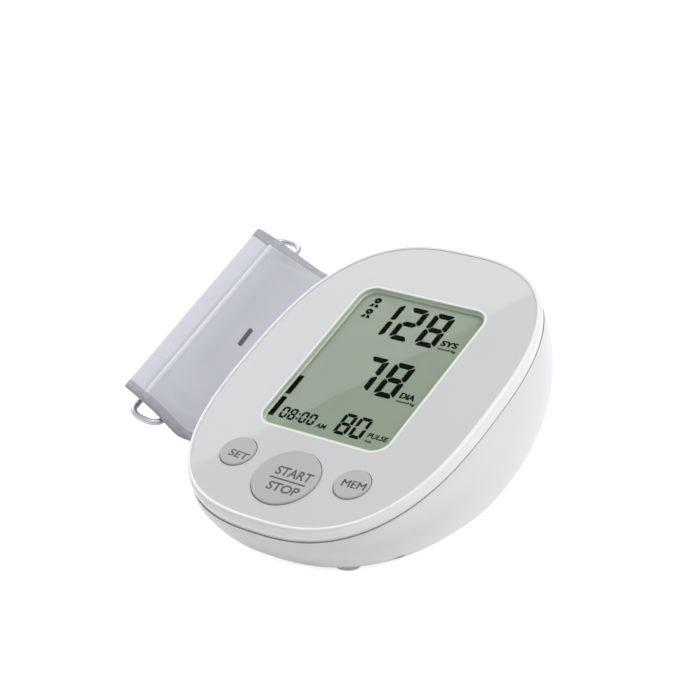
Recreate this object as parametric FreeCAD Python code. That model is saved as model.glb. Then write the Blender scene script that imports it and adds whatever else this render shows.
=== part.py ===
import FreeCAD, Part
import math
import os
from FreeCAD import Vector

# An upper-arm blood pressure monitor: a wedge-shaped desk unit and its loosely rolled cuff.
# Lengths are millimetres and angles degrees. X points to the unit's right, Y to its back, Z up.

# ---- Driving dimensions: case -------------------------------------------------------------
face_tilt = 26.4          # slope of the face above the table
plate_half_w = 50.6       # face plate, half width
plate_past_cells = 38.0   # face plate's ends beyond the battery pocket, which makes room for the pump
plate_power = 2.74        # superellipse exponent of the face plate's outline
plate_t = 1.5
rim_w = 1.0               # visible edge of the top case round the face plate
rim_proud = 0.25
seam_depth = 4.8          # parting line below the face
seam_step_w = 1.3         # parting line outside the plate, at the sides and at the ends
seam_step_l = 2.9
seam_power = 2.63
base_margin_w = 5.5       # base outside the battery door
base_margin_l = 16.5
base_power = 2.5
base_shift = -3.4         # centre of the base from the centre of the seam, towards the back
belly_shift = 6.3         # how far the flanks lean back between base and seam
belly = 0.075             # swelling of the flanks at mid height, as a share of their width
flank_power = 1.5         # roundness of the flanks, 1 is straight and 2 is a quarter ellipse
wall = 2.2
floor_t = 2.4
deck_t = 2.0
foot_h = 1.0
lip_depth = 2.5
lip_t = 1.2
lip_gap = 0.3

# ---- Driving dimensions: display, keys and board ------------------------------------------
side_band = 23.6          # plate beside, above and below the visible display area
brow_band = 24.875
key_band = 39.475
view_r = 6.0
view_x = -0.9
border_w = 0.9            # white line round the display
fit_gap = 0.05            # flush parts laid into each other
lcd_margin = 2.0
lcd_drop = 1.9            # display glass below the face
lcd_t = 2.8
holder_wall = 2.0
board_t = 1.6
board_depth = 9.0
board_margin = 4.5        # board outside the display, and inside the plate's ends
board_end_gap = 10.3
board_y = -2.0
board_over_box = 1.75     # board's underside above the battery box's front edge
start_r = 12.4
side_r = 6.6
start_edge = 19.1         # key centres from the plate's lower end
side_edge = 24.1
key_spacing = 5.5
key_proud = 0.6
key_travel = 0.8
key_gap = 0.25
key_flange = 1.0
switch_h = 2.5
post_r = 2.4

# ---- Driving dimensions: power ------------------------------------------------------------
cell_r = 7.1
cell_len = 50.0
cell_gap = 0.8
cell_count = 4
contact_room = 4.3        # spring or plate at each end of a cell
spring_r = 3.2
spring_wire_r = 0.35
spring_turns = 2.5
pocket_wall = 1.5
door_t = 1.6
door_gap = 0.3
door_ledge = 0.7
door_corner = 4.0
hinge_r = 0.8
hinge_pin_r = 0.6
hinge_pin_gap = 0.06
hinge_half = 24.0
pin_len = 1.5
jack_r = 4.0
jack_bore_r = 2.9
jack_pin_r = 0.95
jack_x = 18.0
jack_z = 21.0

# ---- Driving dimensions: pneumatics -------------------------------------------------------
air_y = 20.0              # the air line's place, and its height over the battery box
air_over_box = 12.0
socket_r = 5.0
socket_bore_r = 2.5
socket_bore_len = 10.0
nipple_r = 1.6
nipple_len = 5.0
channel_r = 0.8
tube_r = 2.8
tube_gap = 0.05
manifold_x = -24.0
manifold_half = 6.0
manifold_h = 10.0
valve_x = 7.0
valve_half_l = 9.0
valve_half_w = 7.0
motor_r = 10.0
motor_len = 24.0
pump_gap = 2.5            # between pump and battery box
pump_half = 11.0
pump_len = 18.0
sleeve_t = 1.2
sleeve_len = 6.0

# ---- Driving dimensions: fixings ----------------------------------------------------------
foot_r = 4.5
foot_in = 1.6             # depth of a foot in its recess
foot_x = 22.0
foot_gap = 2.0            # between foot and battery door
boss_r = 3.6
boss_gap_front = 0.9      # between boss and board
boss_y_front = -30.0
boss_gap_back = 2.9
boss_y_back = 30.0
boss_split_front = 15.0   # height where lower and upper boss meet
boss_split_back = 34.0
screw_r = 1.2
pilot_gap = 0.05
screw_head_r = 2.4
screw_head_h = 1.6
screw_bite = 8.0

# ---- Driving dimensions: cuff -------------------------------------------------------------
cuff_width = 148.0        # along the arm
cuff_beside = 41.35       # table point below the near left corner, from the unit and the roll
cuff_corner_y = 5.4
cuff_turn = 19.0
near_rise = 21.0          # height of the curled edge's top side at its two ends
far_rise = 41.3
near_slope = 35.4
far_slope = 28.5
cloth_t = 0.6
core_t = 1.0              # bladder or former between the two cloths
former_in = 2.0           # former's edges inside the bindings and the curled edge
bend_r = 30.0
roll_r = 12.5             # centre line of the outermost turn
roll_lead = 3.8           # flat stretch between bend and roll
roll_core = 3.0           # smallest radius inside the roll
roll_gap = 0.45           # between turns
binding_w = 5.0
binding_proud = 0.2
panel_t = 0.6
hem_s = 8.0               # hem line from the curled edge
ring_rod_r = 1.25
ring_held_s = 8.0         # the ring's two long bars from the curled edge, and below the cloth's middle
ring_free_s = 19.6
ring_held_drop = 6.3
ring_free_drop = 2.75
ring_out = 8.0            # how far the ring stands out of the cuff at each end
ring_slide = 4.5          # how far it has slid towards the far end
ring_corner_r = 5.0
pocket_in = 14.0
pocket_s = 11.0
port_q = 118.0
port_r = 2.2
port_len = 16.0
port_base = 9.0

UP = Vector(0, 0, 1)
tilt = math.radians(face_tilt)
face_normal = Vector(0, -math.sin(tilt), math.cos(tilt))
parts = {}


# ---- Curves and frames --------------------------------------------------------------------
def superellipse(half_w, half_l, power, count=48):
    """Points of |x/w|^power + |y/l|^power = 1, anticlockwise from +X."""
    points = []
    for i in range(count):
        a = 2 * math.pi * i / count
        c, s = math.cos(a), math.sin(a)
        reach = (abs(c) ** power + abs(s) ** power) ** (-1 / power)
        points.append((half_w * c * reach, half_l * s * reach))
    return points


def closed_wire(points):
    curve = Part.BSplineCurve()
    curve.interpolate(Points=points, PeriodicFlag=True)
    return Part.Wire(curve.toShape())


def on_face(shape):
    """Takes a shape drawn with the face at z = 0 to its place on the sloping face."""
    shape.rotate(Vector(0, 0, 0), Vector(1, 0, 0), face_tilt)
    shape.translate(Vector(0, 0, face_height))
    return shape


def oval_slab(half_w, half_l, power, low, high):
    wire = closed_wire([Vector(x, y, low) for x, y in superellipse(half_w, half_l, power)])
    return Part.Face(wire).extrude(Vector(0, 0, high - low))


def block(x0, x1, y0, y1, z0, z1):
    return Part.makeBox(x1 - x0, y1 - y0, z1 - z0, Vector(x0, y0, z0))


def rounded_block(half_w, half_l, radius, low, high, x=0.0, y=0.0):
    body = block(x - half_w, x + half_w, y - half_l, y + half_l, low, high)
    upright = [e for e in body.Edges if abs(e.tangentAt(e.FirstParameter).z) > 0.99]
    return body.makeFillet(radius, upright)


def rod(radius, start, end):
    axis = Vector(*end) - Vector(*start)
    return Part.makeCylinder(radius, axis.Length, Vector(*start), axis)


def pipe(outer, inner, start, end):
    return rod(outer, start, end).cut(rod(inner, start, end))


# ---- Case shell ---------------------------------------------------------------------------
base_z = foot_h
cell_pitch = 2 * cell_r + cell_gap
pocket_half_x = cell_len / 2 + contact_room
pocket_half_y = cell_pitch * cell_count / 2 + 0.3
pocket_top = base_z + door_t + 2 * cell_r + 1.7
roof_z = pocket_top + pocket_wall
door_half_x = pocket_half_x + door_ledge
door_half_y = pocket_half_y + door_ledge
base_half_w = door_half_x + base_margin_w
base_half_l = door_half_y + base_margin_l
plate_half_l = pocket_half_y + plate_past_cells
seam_half_w = plate_half_w + seam_step_w
seam_half_l = plate_half_l + seam_step_l
seam_y = seam_depth * math.sin(tilt)
seam_plan_l = seam_half_l * math.cos(tilt)
base_y = seam_y + base_shift
box_front_y = base_y - pocket_half_y - pocket_wall
# The height of the face plate's centre above the table puts the sloping board over the battery box.
face_height = roof_z + board_over_box + (board_depth + board_t) / math.cos(tilt) - box_front_y * math.tan(tilt)
seam_z = face_height - seam_depth * math.cos(tilt)


def seam_height(y):
    return seam_z + (y - seam_y) * math.tan(tilt)


def hull_section(level, inset=0.0, lift=0.0, count=48):
    """Closed outline between the base, level 0, and the parting line, level 1."""
    grow = (1 - (1 - level) ** flank_power) ** (1 / flank_power)
    bulge = 4 * level * (1 - level)
    half_w = (base_half_w + (seam_half_w - base_half_w) * grow) * (1 + belly * bulge)
    half_l = (base_half_l + (seam_plan_l - base_half_l) * grow) * (1 + belly * bulge)
    power = base_power + (seam_power - base_power) * grow
    mid_y = seam_y + base_shift * (1 - level) + belly_shift * bulge
    bottom = base_z + lift
    points = []
    for x, y in superellipse(half_w - inset, half_l - inset, power, count):
        top = seam_height(seam_y + y * seam_plan_l / half_l)
        points.append(Vector(x, mid_y + y, bottom + level * (top - bottom)))
    return points


def hull(inset=0.0, lift=0.0, extra=0.0):
    """The lower case's solid. extra carries its open top past the parting line."""
    levels = (0.0, 0.04, 0.12, 0.25, 0.42, 0.6, 0.8, 1.0)
    wires = [closed_wire(hull_section(v, inset, lift)) for v in levels]
    if extra:
        rim = hull_section(1.0, inset, lift)
        wires.append(closed_wire([p + face_normal * extra for p in rim]))
    return Part.makeLoft(wires, True, False)


def hull_bottom(x, y):
    """Height of the outer skin straight below a point of the plan."""
    level = 0.0
    while level < 1.0:
        ring = hull_section(level)
        half_w = max(p.x for p in ring)
        half_l = (max(p.y for p in ring) - min(p.y for p in ring)) / 2
        mid_y = (max(p.y for p in ring) + min(p.y for p in ring)) / 2
        if (abs(x) / half_w) ** base_power + (abs(y - mid_y) / half_l) ** base_power <= 1:
            break
        level += 0.01
    return base_z + level * (seam_height(y) - base_z)


outer_hull = hull()
view_w = 2 * (plate_half_w - side_band)
view_l = 2 * plate_half_l - brow_band - key_band
view_y = plate_half_l - brow_band - view_l / 2
board_half_w = view_w / 2 + board_margin
board_half_l = plate_half_l - board_end_gap
start_y = start_edge - plate_half_l
side_y = side_edge - plate_half_l
side_x = start_r + side_r + key_spacing
cell_z = base_z + door_t + 0.5 + cell_r
hinge_y = base_y - door_half_y + hinge_r
hinge_z = base_z + hinge_r
boss_x = board_half_w + boss_r
bosses = [(side * x, y, split) for side in (-1, 1) for x, y, split in
          ((boss_x + boss_gap_front, boss_y_front, boss_split_front),
           (boss_x + boss_gap_back, boss_y_back, boss_split_back))]
foot_y = door_half_y + foot_r + foot_gap
feet = [(sx * foot_x, base_y + sy * foot_y) for sx in (-1, 1) for sy in (-1, 1)]
air_z = roof_z + air_over_box
pump_y = base_y + pocket_half_y + pocket_wall + pump_half + pump_gap
pump_z = air_z
motor_x = -10.0
sleeves = [motor_x + 3.0, motor_x + motor_len - 3.0 - sleeve_len]


def screw_seat(x, y, split):
    """Height of the shoulder that a case screw's head bears on."""
    return max(hull_bottom(x, y) + 4.0, split - 6.0)


def make_bottom_case():
    inside = []
    inside.append(block(-pocket_half_x - pocket_wall, pocket_half_x + pocket_wall,
                        base_y - pocket_half_y - pocket_wall, base_y + pocket_half_y + pocket_wall,
                        base_z, roof_z))
    for x, y, split in bosses:
        inside.append(rod(boss_r, (x, y, 0), (x, y, split)))
    for x, y in feet:
        inside.append(rod(foot_r + 1.2, (x, y, 0), (x, y, base_z + foot_in + 2.0)))
    for x in sleeves:
        cradle = block(x + 1.5, x + sleeve_len - 1.5, pump_y - motor_r - 2, pump_y + motor_r + 2, 0, pump_z)
        seat_r = motor_r + sleeve_t + fit_gap
        inside.append(cradle.cut(rod(seat_r, (x, pump_y, pump_z), (x + sleeve_len, pump_y, pump_z))))
    inside.append(block(jack_x - 5.5, jack_x + 5.5, jack_inner_y, jack_skin_y + 3, 0, jack_z - jack_r))
    inside = [piece.common(outer_hull) for piece in inside]
    case = outer_hull.cut(hull(wall, floor_t, 1.0))
    case = case.multiFuse(inside)

    cuts = [block(-pocket_half_x, pocket_half_x, base_y - pocket_half_y, base_y + pocket_half_y, 0, pocket_top)]
    recess = rounded_block(door_half_x + door_gap, door_half_y + door_gap, door_corner + door_gap,
                           0, base_z + door_t, 0, base_y)
    recess = recess.cut(block(-60, 60, base_y - 60, hinge_y + hinge_r, -1, base_z + door_t + 1))
    cuts.append(recess)
    cuts.append(rod(hinge_r + door_gap, (-hinge_half - door_gap, hinge_y, hinge_z),
                    (hinge_half + door_gap, hinge_y, hinge_z)))
    cuts.append(block(-hinge_half - door_gap, hinge_half + door_gap, hinge_y - hinge_r - door_gap,
                      hinge_y + hinge_r + 1, 0, hinge_z))
    pin_reach = hinge_half + pin_len + door_gap
    cuts.append(rod(hinge_pin_r + hinge_pin_gap, (-pin_reach, hinge_y, hinge_z), (pin_reach, hinge_y, hinge_z)))
    for x, y in feet:
        cuts.append(rod(foot_r, (x, y, 0), (x, y, base_z + foot_in)))
    for x, y, split in bosses:
        seat = screw_seat(x, y, split)
        cuts.append(rod(screw_head_r + 0.3, (x, y, 0), (x, y, seat)))
        cuts.append(rod(screw_r + 0.3, (x, y, 0), (x, y, split + 1)))
    cuts.append(rod(socket_r, (-80, air_y, air_z), (socket_inner_x + 1, air_y, air_z)))
    cuts.append(rod(jack_r, (jack_x, jack_inner_y, jack_z), (jack_x, jack_skin_y + 10, jack_z)))
    for cut in cuts:
        case = case.cut(cut)
    return case


def rim_loft(sections):
    wires = []
    for depth, half_w, half_l, power in sections:
        wires.append(closed_wire([Vector(x, y, -depth) for x, y in superellipse(half_w, half_l, power)]))
    return Part.makeLoft(wires, True, False)


def key_places():
    return {"start": (0.0, start_y, start_r), "set": (-side_x, side_y, side_r), "mem": (side_x, side_y, side_r)}


def board_posts():
    top_y = board_y + board_half_l - 3.5
    return [(-26.0, top_y), (26.0, top_y), (-14.5, start_y + 12.7), (14.5, start_y + 12.7)]


def make_top_case():
    edge_w, edge_l = plate_half_w + rim_w, plate_half_l + rim_w
    sections = [(seam_depth, seam_half_w, seam_half_l, seam_power),
                (seam_depth * 0.55, seam_half_w + 0.25, seam_half_l - 0.15, seam_power + 0.03),
                (1.2, seam_half_w + 0.2, (seam_half_l + edge_l) / 2 + 0.3, plate_power - 0.05),
                (0.35, edge_w + 0.25, edge_l + 0.45, plate_power - 0.02),
                (-0.05, edge_w - 0.1, edge_l - 0.05, plate_power),
                (-rim_proud, edge_w - 0.5, edge_l - 0.5, plate_power)]
    body = rim_loft(sections)
    deck_low = plate_t + deck_t
    hollow = oval_slab(plate_half_w - wall, plate_half_l - wall, plate_power, -seam_depth - 1, -deck_low)
    body = body.cut(hollow)
    lip_w, lip_l = seam_half_w - wall - lip_gap, seam_half_l - wall - lip_gap
    lip_low = -seam_depth - lip_depth
    lip = oval_slab(lip_w, lip_l, seam_power, lip_low, -deck_low)
    lip = lip.cut(oval_slab(lip_w - lip_t, lip_l - lip_t, seam_power, lip_low - 1, -deck_low + 1))
    body = body.fuse(lip)
    for x, y in board_posts():
        body = body.fuse(rod(post_r, (x, y, -board_depth), (x, y, -deck_low + 0.5)))
    below_deck = on_face(oval_slab(plate_half_w - 1, plate_half_l - 1, plate_power, -90, -deck_low + 0.5))
    body = on_face(body)
    for x, y, split in bosses:
        body = body.fuse(rod(boss_r, (x, y, split), (x, y, face_height + 60)).common(below_deck))

    cuts = [oval_slab(plate_half_w + fit_gap, plate_half_l + fit_gap, plate_power, -plate_t, 5)]
    cuts.append(rounded_block(view_w / 2 + lcd_margin + 1, view_l / 2 + lcd_margin + 1, 2.0,
                              -deck_low - 1, 1, view_x, view_y))
    for x, y, r in key_places().values():
        cuts.append(rod(r + key_gap + 0.15, (x, y, -deck_low - 1), (x, y, 1)))
    for x, y in board_posts():
        cuts.append(rod(0.95, (x, y, -board_depth - 1), (x, y, -deck_low)))
    for cut in cuts:
        body = body.cut(on_face(cut))
    for x, y, split in bosses:
        body = body.cut(rod(screw_r + pilot_gap, (x, y, split - 1), (x, y, split + screw_bite + 1)))
    return body


def make_feet():
    pads = []
    for x, y in feet:
        pad = rod(foot_r - fit_gap, (x, y, 0), (x, y, base_z + foot_in))
        low = [e for e in pad.Edges if abs(e.BoundBox.ZMax) < 0.01]
        pads.append(pad.makeFillet(0.4, low))
    return Part.makeCompound(pads)


def make_case_screws():
    screws = []
    for x, y, split in bosses:
        seat = screw_seat(x, y, split)
        head = rod(screw_head_r, (x, y, seat - screw_head_h), (x, y, seat))
        slot = block(x - 1.6, x + 1.6, y - 0.3, y + 0.3, seat - screw_head_h - 1, seat - screw_head_h + 0.7)
        cross = block(x - 0.3, x + 0.3, y - 1.6, y + 1.6, seat - screw_head_h - 1, seat - screw_head_h + 0.7)
        shank = rod(screw_r, (x, y, seat), (x, y, split + screw_bite))
        screws.append(head.cut(slot).cut(cross).fuse(shank))
    return Part.makeCompound(screws)


# ---- Display, keys and board --------------------------------------------------------------
border_half_w = view_w / 2 + border_w
border_half_l = view_l / 2 + border_w
lcd_low = lcd_drop + lcd_t
lcd_half_w = view_w / 2 + lcd_margin
lcd_half_l = view_l / 2 + lcd_margin


def make_face_plate():
    plate = oval_slab(plate_half_w, plate_half_l, plate_power, -plate_t, 0)
    plate = plate.cut(rounded_block(border_half_w + fit_gap, border_half_l + fit_gap, view_r + border_w + fit_gap,
                                    -plate_t - 1, 1, view_x, view_y))
    for x, y, r in key_places().values():
        plate = plate.cut(rod(r + key_gap, (x, y, -plate_t - 1), (x, y, 1)))
    return on_face(plate)


def make_display_border():
    ring = rounded_block(border_half_w, border_half_l, view_r + border_w, -plate_t, 0, view_x, view_y)
    return on_face(ring.cut(rounded_block(view_w / 2, view_l / 2, view_r, -plate_t - 1, 1, view_x, view_y)))


def make_display_window():
    return on_face(rounded_block(view_w / 2 - fit_gap, view_l / 2 - fit_gap, view_r - fit_gap,
                                 -plate_t, 0, view_x, view_y))


def make_lcd_glass():
    return on_face(rounded_block(lcd_half_w, lcd_half_l, 1.0, -lcd_low, -lcd_drop, view_x, view_y))


def make_lcd_holder():
    ring = rounded_block(lcd_half_w + 1.5, lcd_half_l + 1.5, 1.5, -board_depth, -lcd_low, view_x, view_y)
    hole = rounded_block(lcd_half_w - holder_wall, lcd_half_l - holder_wall, 1.0, -board_depth - 1, 1, view_x, view_y)
    return on_face(ring.cut(hole))


def make_contact_strips():
    strips = []
    for side in (-1, 1):
        y = view_y + side * (lcd_half_l - holder_wall - 2.0)
        strips.append(block(view_x - 24, view_x + 24, y - 1.2, y + 1.2, -board_depth, -lcd_low))
    return on_face(Part.makeCompound(strips))


def make_key(x, y, radius):
    shank_low = -plate_t - deck_t - 0.05
    cap = rod(radius, (x, y, shank_low), (x, y, key_proud))
    top = [e for e in cap.Edges if abs(e.BoundBox.ZMin - key_proud) < 0.01]
    cap = cap.makeFillet(0.45, top)
    flange = rod(radius + key_flange, (x, y, shank_low - 1.0), (x, y, shank_low))
    stem_low = -board_depth + switch_h + key_travel + 0.1
    stem = rod(1.8, (x, y, stem_low), (x, y, shank_low - 0.5))
    key = cap.fuse(flange).fuse(stem)
    hollow = pipe(radius - 1.2, 3.0, (x, y, shank_low - 2.0), (x, y, -0.8))
    return on_face(key.cut(hollow))


def make_main_board():
    board = block(-board_half_w, board_half_w, board_y - board_half_l, board_y + board_half_l,
                  -board_depth - board_t, -board_depth)
    limit = oval_slab(plate_half_w - 6, plate_half_l - 6, plate_power, -board_depth - 3, 0)
    board = board.common(limit)
    for x, y in board_posts():
        board = board.cut(rod(1.1, (x, y, -board_depth - 3), (x, y, 0)))
    return on_face(board)


def make_switches():
    switches = []
    for x, y, r in key_places().values():
        switches.append(block(x - 3, x + 3, y - 3, y + 3, -board_depth, -board_depth + switch_h))
    return on_face(Part.makeCompound(switches))


def make_board_screws():
    under = -board_depth - board_t
    screws = []
    for x, y in board_posts():
        screws.append(rod(1.9, (x, y, under - 1.3), (x, y, under)).fuse(rod(0.9, (x, y, under), (x, y, -5.0))))
    return on_face(Part.makeCompound(screws))


def make_chips():
    under = -board_depth - board_t
    layout = [(12, 8, 7, 7, 1.6), (-14, -8, 5, 4, 1.4), (16, -16, 3, 4, 1.2), (-6, 20, 2.5, 5, 3.2), (20, 24, 4, 4, 6.5)]
    chips = [block(x - w, x + w, y - l, y + l, under - h, under) for x, y, w, l, h in layout]
    return on_face(Part.makeCompound(chips))


def make_buzzer():
    under = -board_depth - board_t
    return on_face(pipe(6.0, 1.0, (-16, -26, under - 4.0), (-16, -26, under)))


# ---- Power --------------------------------------------------------------------------------
def cell_rows():
    first = base_y - cell_pitch * (cell_count - 1) / 2
    return [(first + cell_pitch * i, 1 if i % 2 else -1) for i in range(cell_count)]


def make_cells():
    cells = []
    for y, plus in cell_rows():
        half = cell_len / 2
        can = rod(cell_r, (-plus * half, y, cell_z), (plus * (half - 1.2), y, cell_z))
        cells.append(can.fuse(rod(2.7, (plus * (half - 1.2), y, cell_z), (plus * half, y, cell_z))))
    return Part.makeCompound(cells)


def make_contact_plates():
    plates = []
    for y, plus in cell_rows():
        wall_x = plus * pocket_half_x
        x0, x1 = sorted((plus * cell_len / 2, wall_x))
        foot = block(x0, x1, y - 3, y + 3, cell_z - 3, cell_z + 3)
        inner_x = wall_x - plus * 0.5
        web_x0, web_x1 = sorted((wall_x, inner_x))
        web = block(web_x0, web_x1, y - 5, y + 5, cell_z - 5.5, cell_z + 5.5)
        hollow_x0, hollow_x1 = sorted((plus * (cell_len / 2 + 0.5), inner_x))
        plates.append(foot.fuse(web).cut(block(hollow_x0, hollow_x1, y - 2.5, y + 2.5, cell_z - 4, cell_z + 4)))
    return Part.makeCompound(plates)


def make_springs():
    """Coil springs of eight-sided wire at the cells' minus ends."""
    springs = []
    for y, plus in cell_rows():
        length = contact_room - 2 * spring_wire_r
        coil = Part.makeHelix(length / spring_turns, length, spring_r)
        coil.rotate(Vector(0, 0, 0), Vector(0, 1, 0), 90 * plus)
        coil.translate(Vector(-plus * (pocket_half_x - spring_wire_r), y, cell_z))
        path = Part.Wire(coil.Edges)
        first = path.Edges[0]
        begin, ahead = first.valueAt(first.FirstParameter), first.tangentAt(first.FirstParameter)
        side = ahead.cross(Vector(1, 0, 0)).normalize() * spring_wire_r
        up = ahead.cross(side).normalize() * spring_wire_r
        section = [begin + side * math.cos(i * math.pi / 4) + up * math.sin(i * math.pi / 4) for i in range(8)]
        springs.append(path.makePipeShell([Part.makePolygon(section + section[:1])], True, True))
    return Part.makeCompound(springs)


def make_battery_door():
    low, high = base_z, base_z + door_t
    plate = rounded_block(door_half_x, door_half_y, door_corner, low, high, 0, base_y)
    plate = plate.cut(block(-60, 60, base_y - 60, hinge_y + hinge_r + door_gap, low - 1, high + 1))
    knuckle = rod(hinge_r, (-hinge_half, hinge_y, hinge_z), (hinge_half, hinge_y, hinge_z))
    web = block(-hinge_half, hinge_half, hinge_y, hinge_y + hinge_r + door_gap + 1, low, high)
    reach = hinge_half + pin_len
    pins = rod(hinge_pin_r, (-reach, hinge_y, hinge_z), (reach, hinge_y, hinge_z))
    door = plate.multiFuse([knuckle, web, pins])
    for i in range(4):
        y = base_y + door_half_y - 9 + i * 1.6
        door = door.cut(block(-8, 8, y, y + 0.8, low - 1, low + 0.4))
    rib_x = pocket_half_x - 1.0
    for x in (-rib_x, rib_x - 1.2):
        door = door.fuse(block(x, x + 1.2, base_y - pocket_half_y + 6, base_y + pocket_half_y - 2, high - 0.2, high + 0.4))
    return door


def skin_x(y, z):
    """Where the left flank meets a line along X, found on the case's solid."""
    line = Part.makeLine(Vector(-90, y, z), Vector(0, y, z))
    return line.common(outer_hull).BoundBox.XMin


def skin_y(x, z):
    """Where the back meets a line along Y."""
    line = Part.makeLine(Vector(x, 0, z), Vector(x, 120, z))
    return line.common(outer_hull).BoundBox.YMax


socket_skin_x = skin_x(air_y, air_z)
socket_inner_x = socket_skin_x + socket_bore_len + 1.5
jack_skin_y = skin_y(jack_x, jack_z)
jack_inner_y = jack_skin_y - 13.0


def make_dc_jack():
    sleeve = rod(jack_r - 0.02, (jack_x, jack_inner_y, jack_z), (jack_x, jack_skin_y + 6, jack_z)).common(outer_hull)
    bore = rod(jack_bore_r, (jack_x, jack_inner_y + 2.5, jack_z), (jack_x, jack_skin_y + 10, jack_z))
    pin = rod(jack_pin_r, (jack_x, jack_inner_y + 1, jack_z), (jack_x, jack_skin_y - 2.5, jack_z))
    return sleeve.cut(bore).fuse(pin)


# ---- Pneumatics ---------------------------------------------------------------------------
def make_air_socket():
    start = socket_skin_x - 3
    body = rod(socket_r - 0.02, (start, air_y, air_z), (socket_inner_x, air_y, air_z)).common(outer_hull)
    flange = pipe(socket_r + 1.6, socket_r - 1, (socket_inner_x - 2, air_y, air_z), (socket_inner_x, air_y, air_z))
    nipple = rod(nipple_r, (socket_inner_x - 1, air_y, air_z), (socket_inner_x + nipple_len, air_y, air_z))
    bore = rod(socket_bore_r, (start - 5, air_y, air_z), (socket_skin_x + socket_bore_len, air_y, air_z))
    channel = rod(channel_r, (start, air_y, air_z), (socket_inner_x + nipple_len + 1, air_y, air_z))
    return body.multiFuse([flange, nipple]).cut(bore).cut(channel)


manifold_low = air_z - manifold_h / 2
manifold_high = air_z + manifold_h / 2
pump_nipple_y = pump_y - pump_half


def make_air_manifold():
    x0, x1 = manifold_x - manifold_half, manifold_x + manifold_half
    y0, y1 = air_y - manifold_half, air_y + manifold_half
    body = block(x0, x1, y0, y1, manifold_low, manifold_high)
    stand = block(manifold_x - 4, manifold_x + 4, air_y - 4, air_y + 4, roof_z, manifold_low)
    arms = [rod(nipple_r, (x0 - nipple_len, air_y, air_z), (x0 + 1, air_y, air_z)),
            rod(nipple_r, (x1 - 1, air_y, air_z), (x1 + nipple_len, air_y, air_z)),
            rod(nipple_r, (manifold_x, y1 - 1, air_z), (manifold_x, y1 + 3.5, air_z))]
    body = body.multiFuse([stand] + arms)
    body = body.cut(rod(channel_r, (x0 - nipple_len - 1, air_y, air_z), (x1 + nipple_len + 1, air_y, air_z)))
    body = body.cut(rod(channel_r, (manifold_x, air_y, air_z), (manifold_x, y1 + 5, air_z)))
    return body.cut(rod(channel_r, (manifold_x, air_y, air_z), (manifold_x, air_y, manifold_high + 1)))


def make_pressure_sensor():
    low = manifold_high
    body = block(manifold_x - 4.5, manifold_x + 4.5, air_y - 4.5, air_y + 4.5, low, low + 4)
    legs = [block(manifold_x + 4.5, manifold_x + 7, air_y - 0.3 + dy, air_y + 0.3 + dy, low + 1.5, low + 2)
            for dy in (-2.5, 0, 2.5)]
    return body.multiFuse(legs)


def make_air_tubes():
    bore = nipple_r + tube_gap
    x0, x1 = manifold_x - manifold_half, manifold_x + manifold_half
    y1 = air_y + manifold_half
    tubes = [pipe(tube_r, bore, (socket_inner_x, air_y, air_z), (x0, air_y, air_z)),
             pipe(tube_r, bore, (x1, air_y, air_z), (valve_x - valve_half_l, air_y, air_z)),
             pipe(tube_r, bore, (manifold_x, y1, air_z), (manifold_x, pump_nipple_y, air_z))]
    return Part.makeCompound(tubes)


def make_exhaust_valve():
    x0, x1 = valve_x - valve_half_l, valve_x + valve_half_l
    body = block(x0, x1, air_y - valve_half_w, air_y + valve_half_w, roof_z, air_z + 4)
    nipple = rod(nipple_r, (x0 - nipple_len + 1, air_y, air_z), (x0 + 1, air_y, air_z))
    coil = rod(valve_half_w - 1.5, (x1, air_y, air_z - 4), (x1 + 5, air_y, air_z - 4))
    return body.fuse(nipple).fuse(coil)


def make_pump_motor():
    can = rod(motor_r, (motor_x, pump_y, pump_z), (motor_x + motor_len, pump_y, pump_z))
    hub = rod(3.2, (motor_x + motor_len, pump_y, pump_z), (motor_x + motor_len + 1.5, pump_y, pump_z))
    tags = [block(motor_x + motor_len, motor_x + motor_len + 3, pump_y + dy - 0.8, pump_y + dy + 0.8,
                  pump_z - 0.25, pump_z + 0.25) for dy in (-6, 6)]
    return can.multiFuse([hub] + tags)


def make_pump_head():
    x1 = motor_x
    x0 = x1 - pump_len
    box = block(x0, x1, pump_y - pump_half, pump_y + pump_half, pump_z - pump_half, pump_z + pump_half)
    along = [e for e in box.Edges if abs(e.tangentAt(e.FirstParameter).x) > 0.99]
    box = box.makeFillet(3.0, along)
    nipple = rod(nipple_r, (manifold_x, pump_nipple_y - 3.0, air_z), (manifold_x, pump_nipple_y + 1, air_z))
    lid = pipe(6.0, 2.0, (x0 - 2, pump_y, pump_z), (x0, pump_y, pump_z))
    return box.fuse(nipple).fuse(lid)


def make_pump_sleeves():
    rings = [pipe(motor_r + sleeve_t, motor_r, (x, pump_y, pump_z), (x + sleeve_len, pump_y, pump_z)) for x in sleeves]
    return Part.makeCompound(rings)


# ---- Cuff: flap, bend and roll ------------------------------------------------------------
# The cuff's own frame has its w axis to the right across the cuff, q along the arm and z up.
sheet_t = 2 * cloth_t + core_t
sheet_z = sheet_t / 2 + binding_proud
turn_pitch = sheet_t + roll_gap
half_turns = int((roll_r - roll_core) / (turn_pitch / 2)) + 1
cuff_corner_x = -(seam_half_w + 2 * roll_r + cuff_beside)


def in_cuff(shape):
    shape.rotate(Vector(0, 0, 0), UP, cuff_turn)
    shape.translate(Vector(cuff_corner_x, cuff_corner_y, 0))
    return shape


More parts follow.
